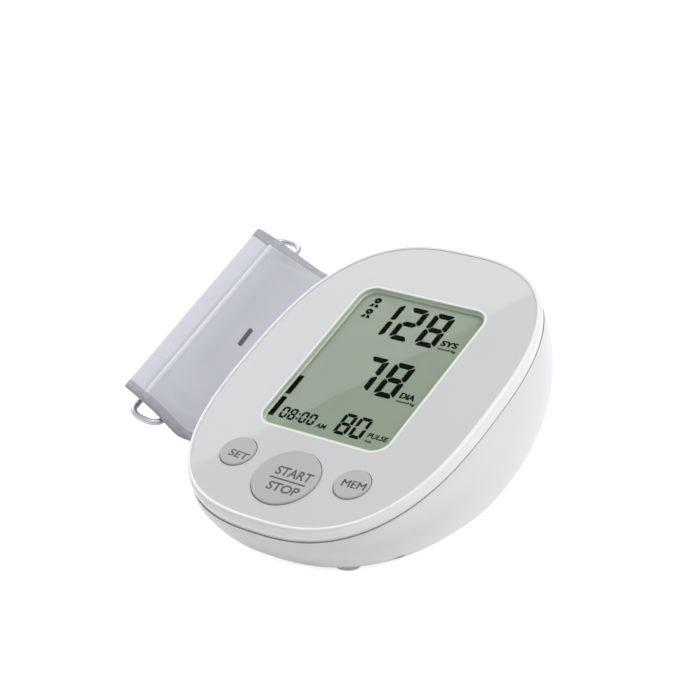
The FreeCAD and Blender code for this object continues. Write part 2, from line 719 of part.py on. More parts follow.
def end_profile(rise, slope, offset, s=0.0):
    """Flap at one end: curled edge or a point s along it, bend start, bend middle, bend end."""
    a = math.radians(slope)
    top_z = rise - sheet_t / 2 * math.cos(a)
    run = (top_z - sheet_z - bend_r * (1 - math.cos(a))) / math.sin(a)
    edge = Vector(0, 0, top_z)
    ahead = Vector(math.cos(a), 0, -math.sin(a))
    centre = edge + ahead * run + Vector(math.sin(a), 0, math.cos(a)) * bend_r
    reach = bend_r - offset
    half = a / 2
    return [edge + ahead * s + Vector(math.sin(a), 0, math.cos(a)) * offset,
            centre - Vector(math.sin(a), 0, math.cos(a)) * reach,
            centre - Vector(math.sin(half), 0, math.cos(half)) * reach,
            centre - Vector(0, 0, 1) * reach]


def flap_points(q, offset, s=0.0):
    near = end_profile(near_rise, near_slope, offset, s)
    far = end_profile(far_rise, far_slope, offset, s)
    share = q / cuff_width
    return [n * (1 - share) + f * share + Vector(0, q, 0) for n, f in zip(near, far)]


bend_end_near = end_profile(near_rise, near_slope, 0.0)[3].x
bend_end_far = end_profile(far_rise, far_slope, 0.0)[3].x
roll_w = bend_end_near + roll_r + roll_lead
skew = Vector((bend_end_far - bend_end_near) / cuff_width, 1, 0)


def segment(a, b):
    return Part.LineSegment(a, b).toShape()


def flap_wire(q, low, high, s):
    lower, upper = flap_points(q, low, s), flap_points(q, high, s)
    return Part.Wire([segment(lower[0], lower[1]), Part.Arc(lower[1], lower[2], lower[3]).toShape(),
                      segment(lower[3], upper[3]), Part.Arc(upper[3], upper[2], upper[1]).toShape(),
                      segment(upper[1], upper[0]), segment(upper[0], lower[0])])


def flap_band(q0, q1, low, high, s=0.0):
    return Part.makeLoft([flap_wire(q0, low, high, s), flap_wire(q1, low, high, s)], True, True)


def turn_points(index, offset):
    """Start, middle and end of one half turn of the roll."""
    radius = roll_r - index * turn_pitch / 2
    floor_z = sheet_z + (index + 1) // 2 * turn_pitch
    centre = Vector(roll_w, 0, floor_z + radius)
    side, begin = (-1, 1) if index % 2 else (1, -1)
    reach = radius - offset
    return [centre + Vector(0, 0, begin * reach), centre + Vector(side * reach, 0, 0),
            centre + Vector(0, 0, -begin * reach)]


def roll_band(q0, q1, low, high, first=0, last=half_turns, lead=True):
    """Half turns first to last of the roll, with the flat stretch before them if lead is true."""
    def side(offset):
        edges = []
        if lead:
            start = Vector(bend_end_near, 0, sheet_z + offset)
            edges.append(segment(start, turn_points(0, offset)[0]))
        for i in range(first, last):
            edges.append(Part.Arc(*turn_points(i, offset)).toShape())
        return edges
    under, over = side(low), side(high)
    head = segment(over[0].firstVertex(True).Point, under[0].firstVertex(True).Point)
    tail = segment(under[-1].lastVertex(True).Point, over[-1].lastVertex(True).Point)
    face = Part.Face(Part.Wire(under + [tail] + over[::-1] + [head]))
    face.translate(skew * q0)
    return face.extrude(skew * (q1 - q0))


def whole_band(q0, q1, low, high, last=half_turns):
    return in_cuff(flap_band(q0, q1, low, high).fuse(roll_band(q0, q1, low, high, 0, last)).removeSplitter())


def make_cuff_bindings():
    reach = sheet_t / 2 + binding_proud
    near = whole_band(0, binding_w, -reach, reach - 0.1, half_turns - 1)
    far = whole_band(cuff_width - binding_w, cuff_width, -reach, reach - 0.1, half_turns - 1)
    return Part.makeCompound([near, far])


def make_cuff_former():
    """The stiff plastic sheet that keeps the flap's curl."""
    half = core_t / 2 - fit_gap
    band = flap_band(binding_w, cuff_width - binding_w, -half, half)
    ends = binding_w + former_in
    return in_cuff(band.common(block(former_in, 200, ends, cuff_width - ends, 0, 200)))


def make_cuff_bladder():
    half = core_t / 2 - fit_gap
    return in_cuff(roll_band(binding_w + 7, cuff_width - binding_w - 7, -half, half, 0, half_turns - 2, False))


def make_cuff_panel():
    """The extra cloth laid over the flap, from the hem line to the end of the bend."""
    low = sheet_t / 2 + fit_gap
    panel = flap_band(binding_w, cuff_width - binding_w, low, low + panel_t)
    near, far = flap_spot(0, hem_s, 0), flap_spot(cuff_width, hem_s, 0)
    corners = [Vector(near.x, near.y, 0), Vector(far.x, far.y, 0), Vector(-50, far.y, 0), Vector(-50, near.y, 0)]
    edge_strip = Part.Face(Part.makePolygon(corners + corners[:1])).extrude(Vector(0, 0, 200))
    return in_cuff(panel.cut(edge_strip))


def flap_spot(q, s, offset):
    return flap_points(q, offset, s)[0]


def rounded_ring(corners, corner_r, rod_r):
    """A closed ring of round rod through the corners, each bent to the radius."""
    pieces, trims = [], []
    for i, corner in enumerate(corners):
        back = (corners[i - 1] - corner).normalize()
        ahead = (corners[(i + 1) % len(corners)] - corner).normalize()
        half = back.getAngle(ahead) / 2
        begin = corner + back * (corner_r / math.tan(half))
        end = corner + ahead * (corner_r / math.tan(half))
        centre = corner + (back + ahead).normalize() * (corner_r / math.sin(half))
        axis = (begin - centre).cross(end - centre)
        disc = Part.Face(Part.Wire(Part.makeCircle(rod_r, begin, back)))
        pieces.append(disc.revolve(centre, axis, 180 - math.degrees(2 * half)))
        trims.append((begin, end))
    for i, (begin, end) in enumerate(trims):
        pieces.append(rod(rod_r, end, trims[(i + 1) % len(trims)][0]))
    return pieces[0].multiFuse(pieces[1:]).removeSplitter()


def make_d_ring():
    near_q = -(ring_out - ring_rod_r - ring_slide)
    far_q = cuff_width + ring_out - ring_rod_r + ring_slide
    bars = ((ring_held_s, -ring_held_drop), (ring_free_s, -ring_free_drop))
    corners = [flap_spot(near_q, *bar) for bar in bars] + [flap_spot(far_q, *bar) for bar in bars[::-1]]
    return in_cuff(rounded_ring(corners, ring_corner_r, ring_rod_r))


def make_ring_pocket():
    """The folded hem that holds the ring's outer bar below the flap."""
    top = -sheet_t / 2
    deep = -(ring_held_drop + ring_rod_r + 0.3)
    outline = [(0.0, top), (0.0, deep - cloth_t), (pocket_s, deep - cloth_t), (pocket_s, top),
               (pocket_s - cloth_t, top), (pocket_s - cloth_t, deep), (cloth_t, deep), (cloth_t, top)]
    wires = []
    for q in (pocket_in, cuff_width - pocket_in):
        points = [flap_spot(q, s, offset) for s, offset in outline]
        wires.append(Part.makePolygon(points + points[:1]))
    return in_cuff(Part.makeLoft(wires, True, True))


def make_cuff_port():
    crown = sheet_z + 2 * roll_r + sheet_t / 2
    centre = Vector(roll_w, 0, 0) + skew * port_q
    base = block(centre.x - port_base / 2, centre.x + port_base / 2, port_q - port_base / 2, port_q + port_base / 2,
                 crown - 2.5, crown + 1.5)
    tunnel = Part.Face(Part.Wire(Part.makeCircle(roll_r + sheet_t / 2 + 0.1, Vector(roll_w, 0, sheet_z + roll_r),
                                                 Vector(0, 1, 0)))).extrude(skew * (cuff_width + 20))
    base = base.cut(tunnel)
    barrel_z = crown + port_r
    barrel = rod(port_r, (centre.x, port_q - 2, barrel_z), (centre.x, port_q + port_len, barrel_z))
    ring = rod(port_r + 0.5, (centre.x, port_q + port_len - 4, barrel_z), (centre.x, port_q + port_len - 3, barrel_z))
    bore = rod(channel_r, (centre.x, port_q, barrel_z), (centre.x, port_q + port_len + 1, barrel_z))
    return in_cuff(base.multiFuse([barrel, ring]).cut(bore))


# ---- All sub-parts ------------------------------------------------------------------------
parts["bottom_case"] = make_bottom_case()
parts["top_case"] = make_top_case()
parts["face_plate"] = make_face_plate()
parts["display_border"] = make_display_border()
parts["display_window"] = make_display_window()
parts["lcd_glass"] = make_lcd_glass()
parts["lcd_holder"] = make_lcd_holder()
parts["lcd_contact_strips"] = make_contact_strips()
for key_name, place in key_places().items():
    parts["button_" + key_name] = make_key(*place)
parts["main_board"] = make_main_board()
parts["key_switches"] = make_switches()
parts["board_screws"] = make_board_screws()
parts["board_chips"] = make_chips()
parts["buzzer"] = make_buzzer()
parts["battery_cells"] = make_cells()
parts["battery_contacts"] = make_contact_plates()
parts["battery_springs"] = make_springs()
parts["battery_door"] = make_battery_door()
parts["rubber_feet"] = make_feet()
parts["case_screws"] = make_case_screws()
parts["dc_jack"] = make_dc_jack()
parts["air_socket"] = make_air_socket()
parts["air_manifold"] = make_air_manifold()
parts["pressure_sensor"] = make_pressure_sensor()
parts["air_tubes"] = make_air_tubes()
parts["exhaust_valve"] = make_exhaust_valve()
parts["pump_motor"] = make_pump_motor()
parts["pump_head"] = make_pump_head()
parts["pump_sleeves"] = make_pump_sleeves()

inner_edge = sheet_t / 2 - cloth_t
parts["cuff_outer_cloth"] = whole_band(binding_w, cuff_width - binding_w, -sheet_t / 2, -inner_edge, half_turns - 1)
parts["cuff_inner_cloth"] = whole_band(binding_w, cuff_width - binding_w, inner_edge, sheet_t / 2, half_turns - 1)
parts["cuff_former"] = make_cuff_former()
parts["cuff_bladder"] = make_cuff_bladder()
parts["cuff_bindings"] = make_cuff_bindings()
parts["cuff_hook_tab"] = in_cuff(roll_band(binding_w, cuff_width - binding_w, -sheet_t / 2, sheet_t / 2,
                                           half_turns - 1, half_turns, False))
parts["cuff_panel"] = make_cuff_panel()
parts["cuff_ring_pocket"] = make_ring_pocket()
parts["cuff_d_ring"] = make_d_ring()
parts["cuff_air_port"] = make_cuff_port()

# ---- Origin at the bottom centre of the whole object's box, and export ---------------------
box = FreeCAD.BoundBox()
for shape in parts.values():
    box.add(shape.optimalBoundingBox(False, False))
origin = Vector((box.XMin + box.XMax) / 2, (box.YMin + box.YMax) / 2, box.ZMin)
os.makedirs("parts", exist_ok=True)
for name, shape in parts.items():
    shape.translate(-origin)
    shape.exportStep("parts/" + name + ".step")
    print(name, len(shape.Solids), shape.isValid(), round(shape.Volume, 1))
print("origin moved from", origin, "box", box.XLength, box.YLength, box.ZLength)
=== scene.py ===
import math

import bmesh
import bpy
import numpy as np
from mathutils import Matrix, Vector


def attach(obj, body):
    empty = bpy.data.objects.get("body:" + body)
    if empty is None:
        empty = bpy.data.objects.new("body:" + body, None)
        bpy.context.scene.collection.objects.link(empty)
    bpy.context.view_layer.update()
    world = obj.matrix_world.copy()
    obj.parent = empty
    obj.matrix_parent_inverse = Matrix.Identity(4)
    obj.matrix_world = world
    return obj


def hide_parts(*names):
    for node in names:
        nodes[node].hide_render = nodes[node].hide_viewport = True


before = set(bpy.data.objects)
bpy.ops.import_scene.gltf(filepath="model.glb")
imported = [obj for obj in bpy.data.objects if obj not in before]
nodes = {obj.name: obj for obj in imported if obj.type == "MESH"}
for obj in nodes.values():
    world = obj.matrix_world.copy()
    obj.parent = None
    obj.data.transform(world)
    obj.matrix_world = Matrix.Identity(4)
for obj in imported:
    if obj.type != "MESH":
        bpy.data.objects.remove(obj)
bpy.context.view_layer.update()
scene = bpy.context.scene

# Where the CAD model's own origin lies in the row's frame, and the face's height and tilt, in millimetres and degrees.
ROW_X, ROW_Y = 56.8141, -59.1523
FACE_Z, FACE_TILT = 49.998, 26.4
# Takes millimetres on the face, from the middle of its plate, to metres in the row's frame.
FACE = (Matrix.Translation((ROW_X / 1000, ROW_Y / 1000, FACE_Z / 1000))
        @ Matrix.Rotation(math.radians(FACE_TILT), 4, "X") @ Matrix.Scale(0.001, 4))


# ---- Materials ----
class Surface:
    """A node material built round one Principled shader. Its extra sockets are named with _ for a space."""

    def __init__(self, name, color, roughness, **sockets):
        self.material = bpy.data.materials.new(name)
        self.material.use_nodes = True
        self.tree = self.material.node_tree
        self.shader = self.tree.nodes["Principled BSDF"]
        self.color, self.roughness = color, roughness
        self.shader.inputs["Base Color"].default_value = (*color, 1)
        self.shader.inputs["Roughness"].default_value = roughness
        for key, value in sockets.items():
            self.shader.inputs[key.replace("_", " ")].default_value = value
        self.coords = self.add("ShaderNodeTexCoord").outputs["Object"]
        self.normal = None

    def add(self, kind, **settings):
        node = self.tree.nodes.new(kind)
        for key, value in settings.items():
            setattr(node, key, value)
        return node

    def link(self, a, b):
        self.tree.links.new(a, b)

    def noise(self, size_mm, detail=3.0, stretch=None):
        """Noise with patches about size_mm wide, squeezed along each axis as many times as stretch says."""
        tex = self.add("ShaderNodeTexNoise")
        tex.inputs["Scale"].default_value = 1000.0 / size_mm
        tex.inputs["Detail"].default_value = detail
        source = self.coords
        if stretch:
            mapping = self.add("ShaderNodeMapping")
            mapping.inputs["Scale"].default_value = stretch
            self.link(source, mapping.inputs["Vector"])
            source = mapping.outputs["Vector"]
        self.link(source, tex.inputs["Vector"])
        return tex.outputs["Fac"]

    def ramp(self, value, low, high, a, b):
        """a where value is low or less, b where it is high or more."""
        node = self.add("ShaderNodeMapRange")
        for key, number in (("From Min", low), ("From Max", high), ("To Min", a), ("To Max", b)):
            node.inputs[key].default_value = number
        self.link(value, node.inputs["Value"])
        return node.outputs["Result"]

    def math(self, operation, a, b):
        node = self.add("ShaderNodeMath", operation=operation)
        for socket, value in zip(node.inputs, (a, b)):
            if isinstance(value, (int, float)):
                socket.default_value = value
            else:
                self.link(value, socket)
        return node.outputs[0]

    def mixed(self, factor, a, b):
        """Colour a where factor is 0, b where it is 1. Either is a list of numbers or a socket."""
        mix = self.add("ShaderNodeMix", data_type="RGBA")
        for socket, color in zip((mix.inputs[6], mix.inputs[7]), (a, b)):
            if isinstance(color, list):
                socket.default_value = (*color, 1)
            else:
                self.link(color, socket)
        self.link(factor, mix.inputs["Factor"])
        return mix.outputs[2]

    def shades(self, value, low, high, spread):
        """The base colour, darker by spread where value is low and lighter where it is high."""
        dark = [c * (1 - spread) for c in self.color]
        light = [min(1.0, c * (1 + spread)) for c in self.color]
        return self.mixed(self.ramp(value, low, high, 0, 1), dark, light)

    def base(self, color):
        self.link(color, self.shader.inputs["Base Color"])

    def rough(self, value, spread):
        at_least = max(0.0, self.roughness - spread)
        self.link(self.ramp(value, 0.3, 0.7, at_least, self.roughness + spread), self.shader.inputs["Roughness"])
        return self

    def bump(self, height, depth_mm, strength=1.0):
        node = self.add("ShaderNodeBump")
        node.inputs["Strength"].default_value = strength
        node.inputs["Distance"].default_value = depth_mm / 1000
        self.link(height, node.inputs["Height"])
        if self.normal:
            self.link(self.normal, node.inputs["Normal"])
        self.normal = node.outputs["Normal"]
        self.link(self.normal, self.shader.inputs["Normal"])
        return self


def plastic(name, color, roughness, grain_mm, grain_depth, spread, rough_spread=0.04, **sockets):
    """Moulded plastic or ink: a little uneven in colour, by spread, and with a fine grain."""
    s = Surface(name, color, roughness, **sockets)
    cloud = s.noise(35.0, 4.0)
    grain = s.noise(grain_mm, 2.0)
    s.base(s.shades(cloud, 0.3, 0.7, spread))
    s.rough(s.math("ADD", s.math("MULTIPLY", cloud, 0.5), s.math("MULTIPLY", grain, 0.5)), rough_spread)
    return s.bump(grain, grain_depth).material


def metal(name, color, roughness, brushed=None):
    s = Surface(name, color, roughness, Metallic=1.0)
    streaks = s.noise(0.6, 3.0, stretch=brushed)
    s.base(s.shades(streaks, 0.3, 0.7, 0.06))
    s.rough(s.noise(4.0, 4.0), 0.08)
    return s.bump(streaks, 0.004).material


def rubber(name, color, roughness=0.7):
    s = Surface(name, color, roughness)
    dust = s.noise(3.0, 6.0)
    s.base(s.shades(dust, 0.35, 0.75, 0.12))
    s.rough(dust, 0.08)
    return s.bump(s.noise(0.4, 2.0), 0.01).material


# The flap's hem, in millimetres from the curled edge: where it lies at the cuff's near end, how much further at the far
# end, and how far past it lies the painted highlight on the fold.
HEM_NEAR, HEM_LEAN, HIGHLIGHT_PAST = 7.0, 1.6, 0.75
WIDTH = 148.0


def painted_fold_highlight_and_shade(s, uv, tone, spread):
    """The flap's cloth, with painted light: lighter on the fold at its hem as a painted highlight, a little darker
    beside it as painted shade, and lighter towards the near end as painted light, over the cloth's own uneven tone.

    uv is the piece's own map in metres, from the curled edge and from the near end."""
    split = s.add("ShaderNodeSeparateXYZ")
    s.link(uv, split.inputs[0])
    from_edge, from_end = split.outputs[0], split.outputs[1]
    # Painted shade in a band beside the hem, and near: painted light towards the near end.
    painted_shade_beside_hem = s.math("MULTIPLY", s.ramp(from_edge, 0.018, 0.038, 1, 0), s.ramp(from_end, 0.010, 0.04, 0, 1))
    painted_shade_beside_hem = s.math("MULTIPLY", painted_shade_beside_hem, s.ramp(from_edge, 0.0105, 0.0175, 0, 1))
    near = s.math("MULTIPLY", s.ramp(from_end, 0.005, 0.05, 1, 0), s.ramp(from_edge, 0.008, 0.03, 0.2, 1))
    tone_and_painted_light = s.math("ADD", s.math("MULTIPLY", tone, 0.2), s.math("SUBTRACT", near, painted_shade_beside_hem))
    # Where the painted highlight on the fold lies, just past the hem and leaning with it.
    lean = s.math("MULTIPLY", from_end, HEM_LEAN / WIDTH)
    past = s.math("SUBTRACT", s.math("SUBTRACT", from_edge, lean), (HEM_NEAR + HIGHLIGHT_PAST) / 1000)
    away = s.math("MAXIMUM", s.math("MULTIPLY", past, -2.2), s.math("MULTIPLY", past, 0.75))
    painted_highlight = [min(1.0, c * 1.45) for c in s.color]
    return s.mixed(s.ramp(away, 0.0003, 0.0013, 1, 0), s.shades(tone_and_painted_light, -1.05, 1.1, 4 * spread), painted_highlight)


def cloth(name, color, pitch_mm, depth_mm, spread, roughness=0.62, sheen=0.35, twill=0.0, cloud_mm=22.0, flap=False):
    """Plain or twill weave that follows the piece's own map, whose unit is a metre of cloth."""
    s = Surface(name, color, roughness, Sheen_Weight=sheen, Sheen_Roughness=0.4)
    uv = s.add("ShaderNodeUVMap", uv_map="cut").outputs["UV"]
    threads = []
    for direction in ("X", "Y"):
        wave = s.add("ShaderNodeTexWave", wave_type="BANDS", bands_direction=direction, wave_profile="SIN")
        wave.inputs["Scale"].default_value = 1000.0 / math.pi / pitch_mm  # about one band to a pitch
        wave.inputs["Distortion"].default_value = 0.35
        wave.inputs["Detail"].default_value = 1.0
        mapping = s.add("ShaderNodeMapping")
        mapping.inputs["Rotation"].default_value = (0, 0, twill)
        s.link(uv, mapping.inputs["Vector"])
        s.link(mapping.outputs["Vector"], wave.inputs["Vector"])
        threads.append(wave.outputs["Fac"])
    weave = s.math("MULTIPLY", threads[0], threads[1])
    cloud = s.noise(cloud_mm, 5.0)
    tone = s.math("ADD", s.math("MULTIPLY", weave, 0.35), s.math("MULTIPLY", cloud, 0.65))
    # With flap, the colour also takes the flap's painted highlight and shade.
    s.base(painted_fold_highlight_and_shade(s, uv, tone, spread) if flap else s.shades(tone, 0.25, 0.6, spread))
    s.rough(cloud, 0.06)
    s.bump(s.noise(9.0, 3.0), 0.12, 0.35)
    return s.bump(weave, depth_mm).material


shell_gray = plastic("shell_gray", (0.815, 0.82, 0.83), 0.38, 0.35, 0.012, 0.015)
rim_white = plastic("rim_white", (0.92, 0.92, 0.925), 0.28, 0.3, 0.008, 0.01)
plate_gray = plastic("plate_gray", (0.71, 0.715, 0.725), 0.02, 1.2, 0.0003, 0.01, rough_spread=0.006,
                     Specular_IOR_Level=0.25)
border_white = plastic("border_white", (0.88, 0.90, 0.87), 0.3, 0.5, 0.004, 0.01)
key_gray = plastic("key_gray", (0.485, 0.49, 0.50), 0.42, 0.4, 0.012, 0.02)
dark_plastic = plastic("dark_plastic", (0.035, 0.035, 0.037), 0.45, 0.6, 0.01, 0.1)
duct_plastic = plastic("duct_plastic", (0.42, 0.43, 0.44), 0.45, 0.5, 0.01, 0.04)
port_gray = plastic("port_gray", (0.30, 0.30, 0.33), 0.5, 0.5, 0.01, 0.04)
sheet_plastic = plastic("sheet_plastic", (0.70, 0.70, 0.72), 0.5, 0.8, 0.01, 0.03)
cell_wrap = plastic("cell_wrap", (0.06, 0.07, 0.09), 0.3, 2.0, 0.004, 0.15)
foot_rubber = rubber("foot_rubber", (0.93, 0.93, 0.935))
sleeve_rubber = rubber("sleeve_rubber", (0.05, 0.05, 0.052))
# A brighter copy of the rim's white: painted highlight on the rim's raised lip.
lip_painted_highlight = plastic("lip_painted_highlight", (0.97, 0.97, 0.975), 0.3, 0.3, 0.004, 0.005)
seam_shadow = plastic("seam_shadow", (0.26, 0.26, 0.27), 0.6, 0.5, 0.004, 0.1)
edge_shadow = plastic("edge_shadow", (0.30, 0.30, 0.31), 0.5, 0.5, 0.004, 0.1)
# Lighter than the display and glowing though it is no lamp: painted light on the opening's shaded wall.
liner_painted_light = plastic("liner_painted_light", (0.46, 0.52, 0.41), 0.5, 0.5, 0.004, 0.05,
                     Emission_Color=(0.48, 0.60, 0.44, 1), Emission_Strength=0.10)
tube_rubber = rubber("tube_rubber", (0.33, 0.33, 0.34), 0.55)
strip_rubber = rubber("strip_rubber", (0.16, 0.16, 0.17))
bladder_rubber = rubber("bladder_rubber", (0.10, 0.10, 0.11))
screw_zinc = metal("screw_zinc", (0.62, 0.62, 0.60), 0.34)
spring_nickel = metal("spring_nickel", (0.70, 0.69, 0.66), 0.26)
motor_can = metal("motor_can", (0.60, 0.60, 0.60), 0.35, (1, 14, 14))
ring_chrome = metal("ring_chrome", (0.44, 0.44, 0.47), 0.42, (6, 6, 6))


def board_green():
    s = Surface("board_green", (0.02, 0.13, 0.05), 0.35)
    tracks = s.add("ShaderNodeTexBrick")
    tracks.inputs["Scale"].default_value = 260.0
    tracks.inputs["Mortar Size"].default_value = 0.06
    tracks.inputs["Color1"].default_value = (0.02, 0.12, 0.05, 1)
    tracks.inputs["Color2"].default_value = (0.03, 0.17, 0.07, 1)
    tracks.inputs["Mortar"].default_value = (0.012, 0.08, 0.03, 1)
    s.link(s.coords, tracks.inputs["Vector"])
    s.link(tracks.outputs["Color"], s.shader.inputs["Base Color"])
    return s.bump(tracks.outputs["Fac"], 0.02).material


def lcd_surface():
    s = Surface("lcd_surface", (0.312, 0.383, 0.293), 0.012, Specular_IOR_Level=0.16)
    cells = s.noise(14.0, 2.0)
    s.base(s.shades(cells, 0.3, 0.7, 0.015))
    return s.rough(s.noise(3.0, 3.0), 0.006).material


def clear_window():
    """Clear acrylic that lets the lamps' light through to the display."""
    s = Surface("clear_window", (1, 1, 1), 0.0, Transmission_Weight=1.0, IOR=1.03)
    s.rough(s.noise(8.0, 4.0), 0.004)
    out = s.tree.nodes["Material Output"]
    clear = s.add("ShaderNodeBsdfTransparent")
    mix = s.add("ShaderNodeMixShader")
    path = s.add("ShaderNodeLightPath")
    s.link(s.math("MAXIMUM", path.outputs["Is Shadow Ray"], path.outputs["Is Diffuse Ray"]), mix.inputs[0])
    s.link(s.shader.outputs[0], mix.inputs[1])
    s.link(clear.outputs[0], mix.inputs[2])
    s.link(mix.outputs[0], out.inputs["Surface"])
    return s.material


cuff_nylon = cloth("cuff_nylon", (0.70, 0.69, 0.775), 0.42, 0.03, 0.03)
# The flap's cloth, with its painted highlight and shade.
panel_nylon = cloth("panel_nylon", (0.565, 0.575, 0.635), 0.42, 0.03, 0.03, flap=True)
binding_tape = cloth("binding_tape", (0.44, 0.435, 0.475), 0.8, 0.09, 0.20, 0.75, 0.2, math.radians(45), 2.6)
hook_tape = cloth("hook_tape", (0.20, 0.20, 0.23), 1.1, 0.25, 0.2, 0.85, 0.1)
thread = plastic("thread", (0.60, 0.595, 0.66), 0.7, 0.15, 0.02, 0.08)
ink_black = plastic("ink_black", (0.006, 0.008, 0.005), 0.6, 0.6, 0.001, 0.1, Specular_IOR_Level=0.0)
ink_mark = plastic("ink_mark", (0.065, 0.065, 0.08), 0.6, 0.4, 0.004, 0.1)
ink_gray = plastic("ink_gray", (0.07, 0.07, 0.08), 0.5, 0.3, 0.002, 0.08)

SURFACES = {
    "bottom_case": shell_gray, "battery_door": shell_gray, "top_case": rim_white, "face_plate": plate_gray,
    "display_border": border_white, "display_window": clear_window(), "lcd_glass": lcd_surface(),
    "lcd_holder": sheet_plastic, "lcd_contact_strips": strip_rubber, "button_start": key_gray,
    "button_set": key_gray, "button_mem": key_gray, "main_board": board_green(), "key_switches": dark_plastic,
    "board_screws": screw_zinc, "board_chips": dark_plastic, "buzzer": dark_plastic, "battery_cells": cell_wrap,
    "battery_contacts": spring_nickel, "battery_springs": spring_nickel, "rubber_feet": foot_rubber,
    "case_screws": screw_zinc, "dc_jack": dark_plastic, "air_socket": duct_plastic, "air_manifold": duct_plastic,
    "pressure_sensor": dark_plastic, "air_tubes": tube_rubber, "exhaust_valve": dark_plastic,
    "pump_motor": motor_can, "pump_head": duct_plastic, "pump_sleeves": sleeve_rubber, "cuff_outer_cloth": cuff_nylon,
    "cuff_inner_cloth": cuff_nylon, "cuff_former": sheet_plastic, "cuff_bladder": bladder_rubber,
    "cuff_bindings": binding_tape, "cuff_hook_tab": hook_tape, "cuff_panel": panel_nylon,
    "cuff_ring_pocket": cuff_nylon, "cuff_d_ring": ring_chrome, "cuff_air_port": port_gray}

for name, node in nodes.items():
    node.data.materials.clear()
    node.data.materials.append(SURFACES[name])


def new_object(name, vertices, faces, surface, body, smooth=True):
    mesh = bpy.data.meshes.new(name)
    mesh.from_pydata([tuple(v) for v in vertices], [], faces)
    mesh.validate()
    work = bmesh.new()
    work.from_mesh(mesh)
    bmesh.ops.recalc_face_normals(work, faces=work.faces)
    work.to_mesh(mesh)
    work.free()
    mesh.materials.append(surface)
    if smooth:
        mesh.shade_smooth()
        mesh.set_sharp_from_angle(angle=math.radians(40))
    obj = bpy.data.objects.new(name, mesh)
    scene.collection.objects.link(obj)
    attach(obj, body)
    return obj


# ---- Display and key lettering ----
def prisms(outlines, low, high, place=FACE):
    """Closed prisms over flat outlines, which place takes to the row's frame."""
    vertices, faces = [], []
    for outline in outlines:
        first, n = len(vertices), len(outline)
        vertices += [place @ Vector((x, y, low)) for x, y in outline]
        vertices += [place @ Vector((x, y, high)) for x, y in outline]
        faces.append(list(range(first + n, first + 2 * n)))
        faces.append(list(range(first + n - 1, first - 1, -1)))
        faces += [[first + i, first + (i + 1) % n, first + n + (i + 1) % n, first + n + i] for i in range(n)]
    return vertices, faces


SEGMENTS = {"0": "abcdef", "2": "abged", "7": "abc", "8": "abcdefg"}


def digit(figure, x0, y0, x1, y1, w):
    """Seven-segment figure that fills its box. w is the width of a stroke."""
    gap, k, h, ym = w * 0.05, w * 0.38, w * 0.5, (y0 + y1) / 2
    e = k * 0.8
    shapes = {
        "a": [(x0 + k + gap, y1 - e / 2), (x0 + k + e + gap, y1), (x1 - k - e - gap, y1), (x1 - k - gap, y1 - e / 2),
              (x1 - w - gap + k, y1 - w + k), (x1 - w - gap, y1 - w), (x0 + w + gap, y1 - w),
              (x0 + w + gap - k, y1 - w + k)],
        "g": [(x0 + h + gap, ym), (x0 + w + gap, ym - h), (x1 - w - gap, ym - h), (x1 - h - gap, ym),
              (x1 - w - gap, ym + h), (x0 + w + gap, ym + h)],
        "f": [(x0 + e / 2, y1 - k - gap), (x0, y1 - k - e - gap), (x0, ym + h * 0.6 + gap), (x0 + h * 0.6, ym + gap),
              (x0 + w, ym + h + gap), (x0 + w, y1 - w - gap)]}
    shapes["d"] = [(x, y0 + y1 - y) for x, y in shapes["a"]]
    shapes["e"] = [(x, y0 + y1 - y) for x, y in shapes["f"]]
    shapes["b"] = [(x0 + x1 - x, y) for x, y in shapes["f"]]
    shapes["c"] = [(x0 + x1 - x, y) for x, y in shapes["e"]]
    return [shapes[s] for s in SEGMENTS[figure]]


def disc(x, y, r):
    turn = [2 * math.pi * i / 28 for i in range(28)]
    return [(x + r * math.cos(a), y + r * math.sin(a)) for a in turn]


def bar(x0, y0, x1, y1):
    return [(x0, y0), (x1, y0), (x1, y1), (x0, y1)]


# The print on the display glass and on the keys: the heights of its lower and upper side over the face.
LCD_TOP, KEY_TOP = -1.9, 0.6
LCD_PRINT = (LCD_TOP - 0.05, LCD_TOP + 0.03)
KEY_PRINT = (KEY_TOP - 0.06, KEY_TOP + 0.02)
DISPLAY = FACE @ Matrix.Translation((-0.3, 0.2, 0))  # its print sits a little to the left and up
BIG, MIDDLE, SMALL = 2.4, 1.42, 0.92  # the widths of the figures' strokes
HEAD_X = -20.3
# The leading 1, in two halves, then 28, 78 and 80, the clock, its colon, and two bars at the left edge.
figures = [[(-10.35, 31.6), (-9.3, 31.2), (-8.1, 32.0), (-8.1, 38.9), (-8.9, 39.3), (-10.35, 38.0)],
           [(-10.35, 23.6), (-9.6, 22.9), (-8.1, 24.2), (-8.1, 30.0), (-9.2, 30.6), (-10.35, 30.0)]]
figures += digit("2", -5.9, 22.6, 2.8, 39.5, BIG) + digit("8", 5.2, 22.6, 14.0, 39.5, BIG)
figures += digit("7", -6.2, -4.0, 2.5, 13.1, BIG) + digit("8", 5.0, -4.0, 13.8, 13.1, BIG)
figures += digit("8", 1.7, -24.4, 7.1, -14.4, MIDDLE) + digit("0", 8.1, -24.4, 13.5, -14.4, MIDDLE)
for figure, x in (("0", -22.3), ("8", -18.8), ("0", -13.9), ("0", -10.3)):
    figures += digit(figure, x, -24.1, x + 3.0, -18.7, SMALL)
figures += [disc(-14.8, -20.4, 0.45), disc(-14.8, -22.6, 0.45)]
figures += [bar(-26.6, -13.1, -24.4, -3.7), bar(-26.6, -24.2, -24.4, -14.7)]
